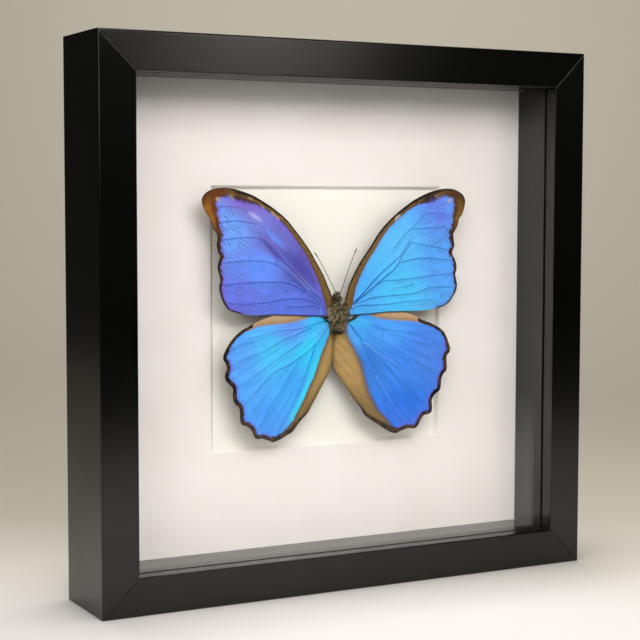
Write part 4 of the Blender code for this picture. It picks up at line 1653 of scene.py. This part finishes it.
@dataclass
class Body:
    """The furry thorax with its stub of abdomen, the head, the wing hinges and the antennae."""

    middle: Triple = (-0.15, 0.3, 126.0)
    lean: float = -0.1
    profile: Path = (
        (6.4, 0.0), (6.2, 0.9), (5.4, 1.5), (4.2, 1.7), (3.0, 2.0), (2.0, 2.7), (0.6, 3.2),
        (-2.6, 3.35), (-5.4, 3.2), (-6.8, 2.7), (-7.6, 2.0), (-8.4, 1.6), (-9.2, 1.2), (-9.7, 0.7),
        (-9.8, 0.0),
    )
    flatness: float = 1.1
    head: Triple = (-0.95, -0.6, 133.4)
    head_radii: Triple = (1.9, 2.1, 2.4)
    hairs: int = 6000
    seed: int = 41
    tones: Sequence[Triple] = (
        shade(24, 14, 6), shade(80, 58, 28), shade(140, 116, 66), shade(180, 160, 106),
        shade(250, 236, 196),
    )

    def thorax_points(self, up: Array, turn: Array, grown: float | Array = 0.0) -> Array:
        """Points on the thorax at heights and turns.

        It is a turned profile that leans to one side, with shallow ribs, flattened front to back.

        Args:
            up: Heights in mm above the thorax's middle.
            turn: Turns in radians from the front.
            grown: What is added to the radius.

        Returns:
            Points in mm.
        """
        knots = curve_through(self.profile, 200)[::-1]
        radius = np.interp(up, knots[:, 0], knots[:, 1]) + grown
        bulge = 1 + 0.05 * np.sin(3 * turn + up * 0.8)
        return np.stack([
            self.middle[0] + self.lean * up + radius * bulge * np.sin(turn),
            self.middle[1] - radius * bulge * self.flatness * np.cos(turn),
            self.middle[2] + up + 0 * turn,
        ], axis=-1)

    def thorax(self, material: Material) -> None:
        """The thorax under its fur, with shallow grooves between its rings.

        Args:
            material: What it is made of.
        """
        up = curve_through(self.profile, 80)[:, 0][:, None]
        turn = np.linspace(0, 2 * np.pi, 64, endpoint=False)[None]
        grooves = -0.15 * (1 + np.cos(up * 2.6)) / 2 + 0 * turn
        draft = Draft("visual_thorax")
        draft.tube(self.thorax_points(up, turn, grooves)[1:-1] * MM)
        made = store(draft.build(material), "tone", all_of(shade(30, 18, 8), draft.count))
        finish_piece(made, "body_fur", "thorax")

    @staticmethod
    def ball(draft: Draft, centre: Triple, radii: Triple, rows: int = 28, facets: float = 0) -> int:
        """Adds an ellipsoid, its surface dented by a fine pattern of facets.

        Args:
            draft: The mesh it joins.
            centre: Its middle in mm.
            radii: Its three radii in mm.
            rows: Rings of points.
            facets: How deep the dents are.

        Returns:
            The number of points added.
        """
        pole, dents = 0.06, 34
        polar = np.linspace(pole, np.pi - pole, rows)[:, None]
        turn = np.linspace(0, 2 * np.pi, rows * 2, endpoint=False)[None]
        size = 1 + facets * (np.sin(polar * dents) * np.sin(turn * dents))
        unit_ball = np.stack([
            np.sin(polar) * np.cos(turn) * size, np.sin(polar) * np.sin(turn) * size,
            np.cos(polar) * size + 0 * turn,
        ], axis=-1)
        return draft.tube((np.array(centre) + unit_ball * np.array(radii)) * MM)

    def skull(self, material: Material) -> None:
        """The head, with two round eyes at its sides and two short palps that point upwards.

        Args:
            material: What it is made of.
        """
        draft = Draft("visual_head")
        x, y, z = self.head
        tones = []
        parts = [
            ((x, y, z), self.head_radii, 0.0, shade(40, 24, 12)),
            ((x - 1.25, y - 0.7, z + 0.4), (1.2, 1.4, 1.55), 0.015, shade(52, 18, 9)),
            ((x + 1.35, y - 0.7, z - 0.6), (1.15, 1.4, 1.5), 0.015, shade(78, 62, 30)),
            ((x - 0.45, y - 1.3, z + 1.9), (0.45, 0.6, 1.3), 0.0, shade(50, 26, 12)),
            ((x + 0.55, y - 1.3, z + 1.7), (0.45, 0.6, 1.3), 0.0, shade(82, 60, 30)),
        ]
        for centre, radii, facets, tone in parts:
            count = self.ball(draft, centre, radii, facets=facets)
            tones.append(all_of(tone, count))
        made = store(draft.build(material), "tone", np.concatenate(tones))
        finish_piece(made, "antenna_horn", "head")

    def hinges(self, material: Material) -> None:
        """The dark sockets between the fore and hind wings, each under a curved vein.

        Args:
            material: What it is made of.
        """
        draft = Draft("visual_wing_hinges")
        z = self.middle[2]
        share = np.linspace(0, 1, 40)
        bulge = np.sin(np.pi * np.clip(share, 0.02, 0.98)) ** 0.7
        dark, pale, black = shade(16, 12, 18), shade(176, 184, 208), shade(10, 7, 8)
        veins = [
            ([(-8.2, -0.35, -0.5), (-6.9, -0.5, -2.7), (-4.8, -0.5, -3.9), (-2.6, -0.5, -3.5)],
             0.1, 0.2, dark),
            ([(9.8, -0.35, -0.5), (8.7, -0.45, -1.9), (7.2, -0.5, -3.2), (5.4, -0.5, -3.8)],
             0.1, 0.22, dark),
            ([(-5.3, -0.2, -2.4), (-4.2, -0.25, -3.0), (-2.9, -0.2, -3.0)], 0.06, 0.34, pale),
            ([(5.3, -0.2, -2.7), (6.6, -0.25, -2.2), (7.9, -0.2, -1.4)], 0.06, 0.38, pale),
        ]
        sockets = [
            ((-5.2, 0.0, z - 1.5), (2.0, 0.5, 0.72)), ((6.0, 0.0, z - 1.3), (1.35, 0.5, 0.5)),
        ]
        tones = []
        for route, thin, thick, tone in veins:
            line = curve_through(route, len(share)) + np.array([0, 0, z])
            count = draft.tube(rounded_tube(line, thin + thick * bulge, 10) * MM)
            tones.append(all_of(tone, count))
        for centre, radii in sockets:
            tones.append(all_of(black, self.ball(draft, centre, radii, 16)))
        made = store(draft.build(material), "tone", np.concatenate(tones))
        finish_piece(made, "antenna_horn")

    def fur(self, material: Material) -> None:
        """Hair that lies down and back over the body in clumps, and tufts on the wing roots.

        Args:
            material: What it is made of.
        """
        draw = np.random.default_rng(self.seed)
        fur = Fur(Draft("visual_body_fur"))
        up = draw.uniform(-8.6, 5.6, self.hairs)
        turn = draw.uniform(-np.pi, np.pi, self.hairs)
        roots = self.thorax_points(up, turn, -0.2)
        out = np.stack([np.sin(turn), -np.cos(turn), 0 * up], axis=1)
        clump = np.stack([turn * 3.4, up], axis=1)
        sway = np.stack([ripple(clump, 1.7, 3), 0 * up, 0.5 * ripple(clump, 1.7, 4)], axis=1)
        flow = np.stack([0.2 * np.sin(turn), 0 * up, -1.0 + 0 * up], axis=1)
        spread = draw.normal(0, 0.16, (self.hairs, 3))
        lift = draw.uniform(0.35, 0.9, (self.hairs, 1))
        lean = unit(out * lift + flow * 0.8 + sway * 0.7 + spread)
        length = draw.uniform(1.0, 2.3, self.hairs) * (1 - 0.45 * rise(-5.5, -8, up))
        droop = np.stack([0 * up, 0 * up, -0.2 + 0 * up], axis=1)
        tone = self.tone_of(ripple(clump, 1.5, 5) + 0.45 * ripple(clump, 0.7, 6), draw)
        tone = mixed(tone, shade(34, 12, 8), rise(-7.2, -8.0, up))
        tuft = np.hypot(roots[:, 0] - 3.3, up + 3.6)
        tone = mixed(tone, shade(176, 60, 36), rise(0.9, 0.5, tuft))
        fur.grow(roots * MM, lean, length * MM, droop, 0.08 * MM, tone)
        self.head_fur(fur, draw)
        self.tufts(fur, draw)
        finish_piece(fur.build(material), "body_fur")

    def tone_of(self, cloud: Array, draw: np.random.Generator) -> Array:
        """Picks each hair's colour from the tones by a cloudy number near 0, with some jitter.

        Args:
            cloud: A number for each hair.
            draw: The random numbers.

        Returns:
            A colour for each hair.
        """
        tones = np.array(self.tones)
        place = np.clip(1.95 + 2.4 * cloud + draw.normal(0, 0.8, len(cloud)), 0, 3.999)
        low = place.astype(int)
        share = (place - low)[:, None]
        tone = tones[low] * (1 - share) + tones[low + 1] * share
        return tone * draw.uniform(0.6, 1.45, (len(cloud), 1))

    def head_fur(self, fur: Fur, draw: np.random.Generator) -> None:
        """Short upright hair on the top of the head, on the neck and on the palps.

        Args:
            fur: The hairs so far.
            draw: The random numbers.
        """
        count = 1300
        aim = unit(draw.normal(0, 1, (count, 3)) + [0, -0.5, 0.0])
        roots = np.array(self.head) + aim * np.array(self.head_radii) * 0.95
        keep = (np.abs(aim[:, 0]) < 0.6) | (aim[:, 2] < -0.5)
        lean = unit(aim + [0, -0.2, 0.3] + draw.normal(0, 0.3, (count, 3)))
        tone = self.tone_of(ripple(roots[:, ::2], 1.2, 8) + 0.02, draw)
        length = draw.uniform(0.5, 1.2, count)
        none = np.zeros((count, 3))
        fur.grow(roots[keep] * MM, lean[keep], length[keep] * MM, none[keep], 0.05 * MM, tone[keep])

    def tufts(self, fur: Fur, draw: np.random.Generator) -> None:
        """Soft hair that fans out from the thorax over the root of each wing, over a dark hinge.

        Args:
            fur: The hairs so far.
            draw: The random numbers.
        """
        for side in (-1, 1):
            count = 1100
            up = draw.uniform(-0.9, 5.0, count)
            roots = np.stack([
                self.middle[0] + 0.3 + side * draw.uniform(1.8, 4.0, count),
                self.middle[1] - draw.uniform(0.7, 2.6, count),
                self.middle[2] + up,
            ], axis=1)
            lean = unit(np.stack([
                side * draw.uniform(0.6, 1.3, count), -draw.uniform(-0.15, 0.4, count),
                -0.5 - 0.06 * up + draw.normal(0, 0.35, count),
            ], axis=1))
            length = draw.uniform(1.4, 3.0 - 0.4 * side, count) * rise(7.5, 3.0, up)
            droop = np.stack([0 * up, 0.2 + 0 * up, -0.1 + 0 * up], axis=1)
            tone = self.tone_of(0.15 + ripple(roots[:, ::2], 1.4, 9), draw)
            fur.grow(roots * MM, lean, length * MM, droop, 0.065 * MM, tone)

    def antenna(self, side: str, route: Sequence[Triple], material: Material) -> None:
        """A thread-like antenna of short rings, which thickens into a slim club at its tip.

        Args:
            side: left or right.
            route: Points in mm, from foot to tip.
            material: What it is made of.
        """
        steps, segments, sides = 260, 52, 10
        line = np.array([WING_CENTRE[0], 0.0, WING_CENTRE[1]]) + curve_through(route, steps)
        share = np.linspace(0, 1, steps)
        segment = np.sin(share * 2 * np.pi * segments)
        radius = 0.17 - 0.04 * share + 0.13 * rise(0.84, 0.95, share)
        radius = radius * (1 + 0.1 * segment) * np.sqrt(np.clip((1.002 - share) * 90, 0, 1))
        draft = Draft("visual_antenna_" + side)
        draft.tube(rounded_tube(line, radius, sides) * MM)
        tone = np.array(shade(84, 66, 54)) * (0.9 + 0.2 * (segment > 0))[:, None]
        made = store(draft.build(material), "tone", np.repeat(tone, sides, axis=0))
        finish_piece(made, "antenna_horn", "antenna_" + side)

    def build(self, fur: Material, horn: Material) -> None:
        """Builds the body's pieces.

        Args:
            fur: The finish of the hair.
            horn: The finish of the hard skin.
        """
        self.thorax(fur)
        self.skull(horn)
        self.hinges(horn)
        self.fur(fur)
        left = [
            (-1.3, -0.8, 8.4), (-3.4, -1.2, 12.9), (-6.6, -1.4, 18.3), (-9.9, -1.6, 23.8),
            (-13.3, -1.8, 28.8),
        ]
        right = [
            (0.2, -0.8, 8.4), (1.8, -1.2, 12.6), (3.6, -1.4, 17.8), (6.0, -1.6, 23.8),
            (8.8, -1.8, 30.3),
        ]
        self.antenna("left", left, horn)
        self.antenna("right", right, horn)


@dataclass
class Specimen:
    """The four wings and the body."""

    forewing_depth: float = 0.3
    hindwing_depth: float = 1.3

    def wings(self) -> list[Wing]:
        """Each wing with its own outline, veins and colours.

        Returns:
            The wings.
        """
        left_fore = tints(
            (18, 22, 92, 86, 174), (33, 34, 114, 110, 198), (46, 50, 132, 128, 212),
            (40, 22, 106, 152, 255), (55, 40, 116, 168, 255), (50, 8, 110, 122, 232),
            (28, 6, 98, 124, 230),
        )
        right_fore = tints(
            (12, 10, 84, 180, 248), (32, 10, 84, 202, 255), (34, 34, 98, 194, 254),
            (57, 24, 90, 172, 255), (54, 46, 100, 158, 248),
        )
        left_hind = tints(
            (9, -7, 62, 196, 255), (16, -18, 60, 200, 255), (33, -18, 80, 202, 255),
            (24, -32, 74, 176, 255), (50, -20, 94, 172, 255), (38, -48, 76, 164, 255),
            (24, -5, 106, 160, 250), (44, -32, 88, 176, 255),
        )
        right_hind = tints(
            (10, -7, 74, 170, 248), (18, -24, 62, 132, 224), (33, -24, 70, 142, 244),
            (50, -18, 82, 140, 238), (36, -48, 50, 122, 236), (28, -9, 82, 166, 255),
        )
        left_glow = ovals(
            (shade(62, 214, 255), (15, -14, 8.5, 2.8, -38, 0.8)),
            (shade(84, 170, 250), (7.5, -8.5, 4.5, 1.6, -48, 0.7)),
        )
        fore, hind = self.forewing_depth, self.hindwing_depth
        return [
            Forewing(
                "forewing_left", Side.LEFT, depth=fore, seed=11, tints=left_fore,
                spots=self.left_spots(), **LEFT_FOREWING,
                pleats=[Pleat((36, 13), (17, 5), 1), Pleat((50, 11), (11, 7), 0.9)],
            ),
            Forewing(
                "forewing_right", Side.RIGHT, depth=fore, seed=23, tints=right_fore,
                spots=self.right_spots(), **RIGHT_FOREWING, tip_umber=shade(84, 56, 28),
                tip_tone=shade(140, 98, 42), fringe=0.25,
                dark_shares=((0, 0.12), (14, 0.2), (26, 0.36), (38, 0.5), (52, 0.4), (60, 0.25)),
                pleats=[Pleat((38, 13.5), (10, 3.5), 0.9), Pleat((44, 23), (8, 3), 0.6)],
            ),
            Hindwing(
                "hindwing_left", Side.LEFT, depth=hind, seed=37, tints=left_hind,
                spots=left_glow, streak=0.95, **LEFT_HINDWING,
            ),
            Hindwing(
                "hindwing_right", Side.RIGHT, depth=hind, seed=51, tints=right_hind,
                spots=ovals((shade(78, 196, 252), (10.5, -4.4, 8.5, 2, -10, 0.85))),
                softness=1.5, **RIGHT_HINDWING,
            ),
        ]

    @staticmethod
    def left_spots() -> list[Spot]:
        """Cream flecks along the left costa, the dark patch in the band, violet pools, and painted shade
        beside the cell's lower vein.

        Returns:
            The ovals.
        """
        return ovals(
            (
                shade(204, 172, 132), (54.8, 54.2, 1.6, 0.9, 40, 0.75),
                (45.5, 53.3, 1.4, 0.5, 22, 0.55), (39.2, 49.9, 1.6, 0.5, 32, 0.55),
                (33.8, 46.5, 1.9, 0.7, 38, 0.7), (31.5, 44.6, 1.2, 0.6, 42, 0.75),
                (62, 53.2, 1.3, 1.1, 0, 0.7),
            ),
            (shade(52, 24, 10), (49.5, 52.9, 6, 1.5, 18, 0.9)),
            (shade(138, 108, 210), (52.5, 51, 6.5, 2.2, 4, 0.6), (43.5, 48, 6, 2.4, 24, 0.55)),
            (shade(196, 196, 244), (43, 45.4, 4, 1.1, 28, 0.6)),
            (shade(104, 152, 255), (33, 35.3, 7, 1.5, 44, 0.7)),
            # These two dark violet ovals are painted shade beside the cell's lower vein.
            (shade(78, 74, 166), (33, 28.8, 9, 1.3, 44, 0.7)),
            (shade(74, 66, 160), (22.5, 23.5, 12.5, 2.6, 42, 0.5)),
            (shade(120, 160, 255), (8.9, 1.3, 1.6, 0.7, 70, 0.6)),
        )

    @staticmethod
    def right_spots() -> list[Spot]:
        """Cream flecks along the right costa, the dark patch and the violet pools by the apex.

        Returns:
            The ovals.
        """
        return ovals(
            (shade(212, 180, 140), (53.1, 54.4, 1.6, 0.8, -30, 0.7), (60.1, 52.7, 1.2, 1.2, 0, 0.6)),
            (shade(220, 180, 168), (31.8, 44.6, 2.2, 0.7, 40, 0.8)),
            (shade(40, 20, 12), (49.6, 53.4, 4.6, 1.5, 14, 0.95)),
            (shade(122, 86, 34), (66, 50.5, 2, 2.6, 0, 0.6)),
            (shade(118, 108, 228), (52.8, 50, 6.2, 4, 10, 0.42), (56, 43.8, 4, 3.4, 0, 0.45)),
        )

    def build(self, scales: Material, fur: Material, horn: Material) -> None:
        """Builds the wings and the body.

        Args:
            scales: The finish of the wings.
            fur: The finish of the hair.
            horn: The finish of the hard skin.
        """
        for wing in self.wings():
            finish_piece(wing.build(scales), "wing_scales", wing.name)
        Body().build(fur, horn)


@dataclass
class CarriedOver:
    """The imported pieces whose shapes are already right, given their finishes."""

    nodes: dict[str, Piece]

    def coat(self, material: Material, *starts: str) -> None:
        """Puts one finish on every node whose name starts with one of these words.

        Args:
            material: The finish.
            *starts: The words.
        """
        for name, node in self.nodes.items():
            if name.startswith(starts):
                for slot in node.material_slots:
                    slot.material = material
                LOG.info("%s: %s", name, material.name)


@dataclass
class Studio:
    """Floor and curved backdrop, a black card for the reflections, soft lamps and the camera.

    The lens is in mm for a film 36 mm wide, and the camera stands at stand, in metres.
    """

    lens: float = 90.3375
    stand: Triple = (-0.3590, -0.6575, 0.1791)
    yaw: float = math.radians(28.03)
    pitch: float = math.radians(4.29)
    roll: float = math.radians(0.088)

    def sweep(self) -> None:
        """A sheet of backdrop paper that lies under the frame and curves up behind it.

        The profile runs level, turns up along a quarter circle and runs straight up; it is carried
        sideways and the whole sheet is turned to face the camera. The colour fades from white under
        the frame to warm grey behind it, as painted shade where the lamps' pool of light falls off.
        """
        radius, back, front, high, wide = 0.55, 1.45, -0.95, 2.4, 0.9
        turn = np.linspace(0, np.pi / 2, 40)
        depth = np.concatenate([[front], back - radius + radius * np.sin(turn), [back]])
        up = np.concatenate([[0], radius - radius * np.cos(turn), [high]])
        across = np.linspace(-wide, wide, 12)
        x, y = np.meshgrid(across, depth)
        z = np.broadcast_to(up[:, None], x.shape)
        turned_x = x * math.cos(self.yaw) + y * math.sin(self.yaw)
        turned_y = y * math.cos(self.yaw) - x * math.sin(self.yaw)
        recipe = MaterialRecipe("backdrop paper", Roughness=0.95, Specular_IOR_Level=0.15)
        inputs = {0: recipe.place(), 1: (math.sin(self.yaw), math.cos(self.yaw), 0)}
        away = recipe.result("ShaderNodeVectorMath", inputs, 1, operation="DOT_PRODUCT")
        # Painted shade: the paper darkens with distance from the camera, in place of the lamps' falloff.
        painted_falloff = recipe.span(away, -0.06, 0.15, 0.0, 1.0)
        recipe.set("Base Color", recipe.blend(painted_falloff, (0.86, 0.83, 0.785), (0.60, 0.56, 0.465)))
        points = np.stack([turned_x, turned_y, z], axis=-1).reshape(-1, 3)
        draft = Draft("studio_sweep", [points], [grid_quads(*x.shape)[:, ::-1]])
        sweep = draft.build(recipe.material)
        sweep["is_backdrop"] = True

    def flag(self) -> None:
        """A black card on the floor in front of the frame, which only reflections see.

        It fades in from its near edge towards the front.
        """
        near, far, half, up = -0.28, -2.4, 2.4, 0.002
        corners = [(-half, far, up), (half, far, up), (half, near, up), (-half, near, up)]
        recipe = MaterialRecipe("black flag card", Roughness=1.0, Specular_IOR_Level=0.0)
        recipe.set("Base Color", (0.08, 0.08, 0.07))
        depth = recipe.result("ShaderNodeSeparateXYZ", {0: recipe.place()}, 1)
        recipe.set("Alpha", recipe.span(depth, -0.62, -0.30, 1.0, 0.0))
        draft = Draft("front_flag", [np.array(corners)], [np.array([[0, 1, 2, 3]])])
        card = draft.build(recipe.material, smooth=False)
        card.visible_camera = card.visible_diffuse = card.visible_shadow = False
        card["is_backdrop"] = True

    def lamp(self, name: str, place: Triple, aim: Triple, size: Pair, power: float, tint: Triple,
             spread: float = 130) -> None:
        """A rectangular soft lamp whose light opens to spread degrees.

        Args:
            name: The lamp's name.
            place: Where it hangs.
            aim: What it points at.
            size: Its width and height.
            power: Its power in watts.
            tint: The colour of its light.
            spread: How wide the light opens.
        """
        data = bpy.data.lights.new(name, "AREA")
        data.shape = "RECTANGLE"
        data.size, data.size_y = size
        data.energy = power
        data.color = tint
        data.spread = math.radians(spread)
        lamp = bpy.data.objects.new(name, data)
        bpy.context.scene.collection.objects.link(lamp)
        away = Vector(place) - Vector(aim)
        lamp.matrix_world = Matrix.Translation(place) @ away.to_track_quat("Z", "Y").to_matrix().to_4x4()

    def camera(self) -> None:
        """The camera, turned to the right by yaw, down by pitch, and rolled a little."""
        sin_yaw, cos_yaw = math.sin(self.yaw), math.cos(self.yaw)
        sin_pitch, cos_pitch = math.sin(self.pitch), math.cos(self.pitch)
        ahead = Vector((sin_yaw * cos_pitch, cos_yaw * cos_pitch, -sin_pitch))
        level = Vector((cos_yaw, -sin_yaw, 0))
        upright = level.cross(ahead)
        right = math.cos(self.roll) * level + math.sin(self.roll) * upright
        top = -math.sin(self.roll) * level + math.cos(self.roll) * upright
        data = bpy.data.cameras.new("camera")
        data.lens = self.lens
        data.clip_start = 0.02
        camera = bpy.data.objects.new("camera", data)
        turned = Matrix((right, top, -ahead)).transposed().to_4x4()
        camera.matrix_world = Matrix.Translation(self.stand) @ turned
        bpy.context.scene.collection.objects.link(camera)
        bpy.context.scene.camera = camera

    def build(self) -> None:
        """Sets up the whole studio, with a world that is pale to the camera and dark to the rest."""
        self.camera()
        self.sweep()
        self.flag()
        middle, white, warm = (0.0, 0.0, 0.13), (1.0, 0.985, 0.975), (1.0, 0.95, 0.87)
        self.lamp("key_lamp", (-0.12, -0.60, 0.53), (0.0, 0.0, 0.15), (0.50, 0.30), 1.22, white)
        self.lamp("right_lamp", (0.42, -0.96, 0.52), middle, (0.2, 0.2), 0.52, warm)
        self.lamp("left_lamp", (-0.75, -0.62, 0.42), middle, (0.4, 0.4), 0.78, white)
        self.lamp("top_lamp", (-0.02, -0.02, 1.1), (-0.05, -0.2, 0.0), (0.4, 0.4), 1.75, white, 80)
        self.lamp("wall_lamp", (0.15, 0.45, 1.5), (0.9, 1.3, 0.7), (0.8, 0.5), 13.0, white, 150)
        self.lamp("back_lamp", (-0.1, 0.85, 0.9), (0.0, 0.1, 0.1), (0.5, 0.5), 0.6, white, 100)
        world = bpy.data.worlds.new("studio")
        world.use_nodes = True
        background = world.node_tree.nodes["Background"]
        background.inputs["Color"].default_value = (1.0, 0.97, 0.9, 1)
        recipe = Recipe(world.node_tree)
        seen = recipe.node("ShaderNodeLightPath").outputs["Is Camera Ray"]
        recipe.feed(background.inputs["Strength"], recipe.span(seen, 0.0, 1.0, 0.03, 0.3))
        bpy.context.scene.world = world
        bpy.context.scene.view_settings.view_transform = "Standard"


def main() -> None:
    """Builds the studio, the frame's finishes, the rails and the specimen, in that order."""
    logging.basicConfig(level=logging.INFO, format="%(name)s: %(message)s")
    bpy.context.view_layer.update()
    Studio().build()
    tooth, wear = fine_tooth(), brushed_wear()
    carried = CarriedOver(frame["nodes"])
    white_card = CardFinish("white mat card", shade(246, 240, 236), shade(243, 236, 231), 0.9)
    board = CardFinish(
        "ivory mounting card", shade(250, 247, 240), shade(247, 243, 234), 0.9, 3200, 0.008 * MM
    )
    hardboard = CardFinish(
        "brown hardboard", shade(132, 96, 62), shade(112, 79, 49), 0.8, 900, 0.12 * MM, shade(70, 46, 28)
    )
    spacer = CardFinish(
        "black spacer board", shade(24, 24, 21), shade(18, 18, 16), 0.22, 700, 0.012 * MM
    )
    foam = CardFinish("white foam", shade(238, 236, 228), shade(226, 223, 214), 0.95, 1600, 0.2 * MM)
    zinc = MetalFinish("zinc plated steel", shade(168, 172, 176), shade(128, 132, 136)).make(wear)
    brass = MetalFinish("brassed steel", shade(196, 160, 92), shade(150, 118, 62)).make(wear)
    for card, start in (
        (white_card, "mat"), (board, "mounting_board"), (hardboard, "back_panel"),
        (spacer, "spacer_"), (foam, "support_block"),
    ):
        carried.coat(card.make(tooth), start)
    carried.coat(zinc, "retaining_point_")
    carried.coat(brass, "hanger_")
    carried.coat(GlassFinish().make(), "glass_pane")
    BoxFrame().build(LacquerFinish().make(wear), zinc)
    scales, fur, horn = WingFinish(), FurFinish("insect fur"), FurFinish("dark horn", 0.3)
    Specimen().build(scales.make(), fur.make(), horn.make())


if __name__ == "__main__":
    main()
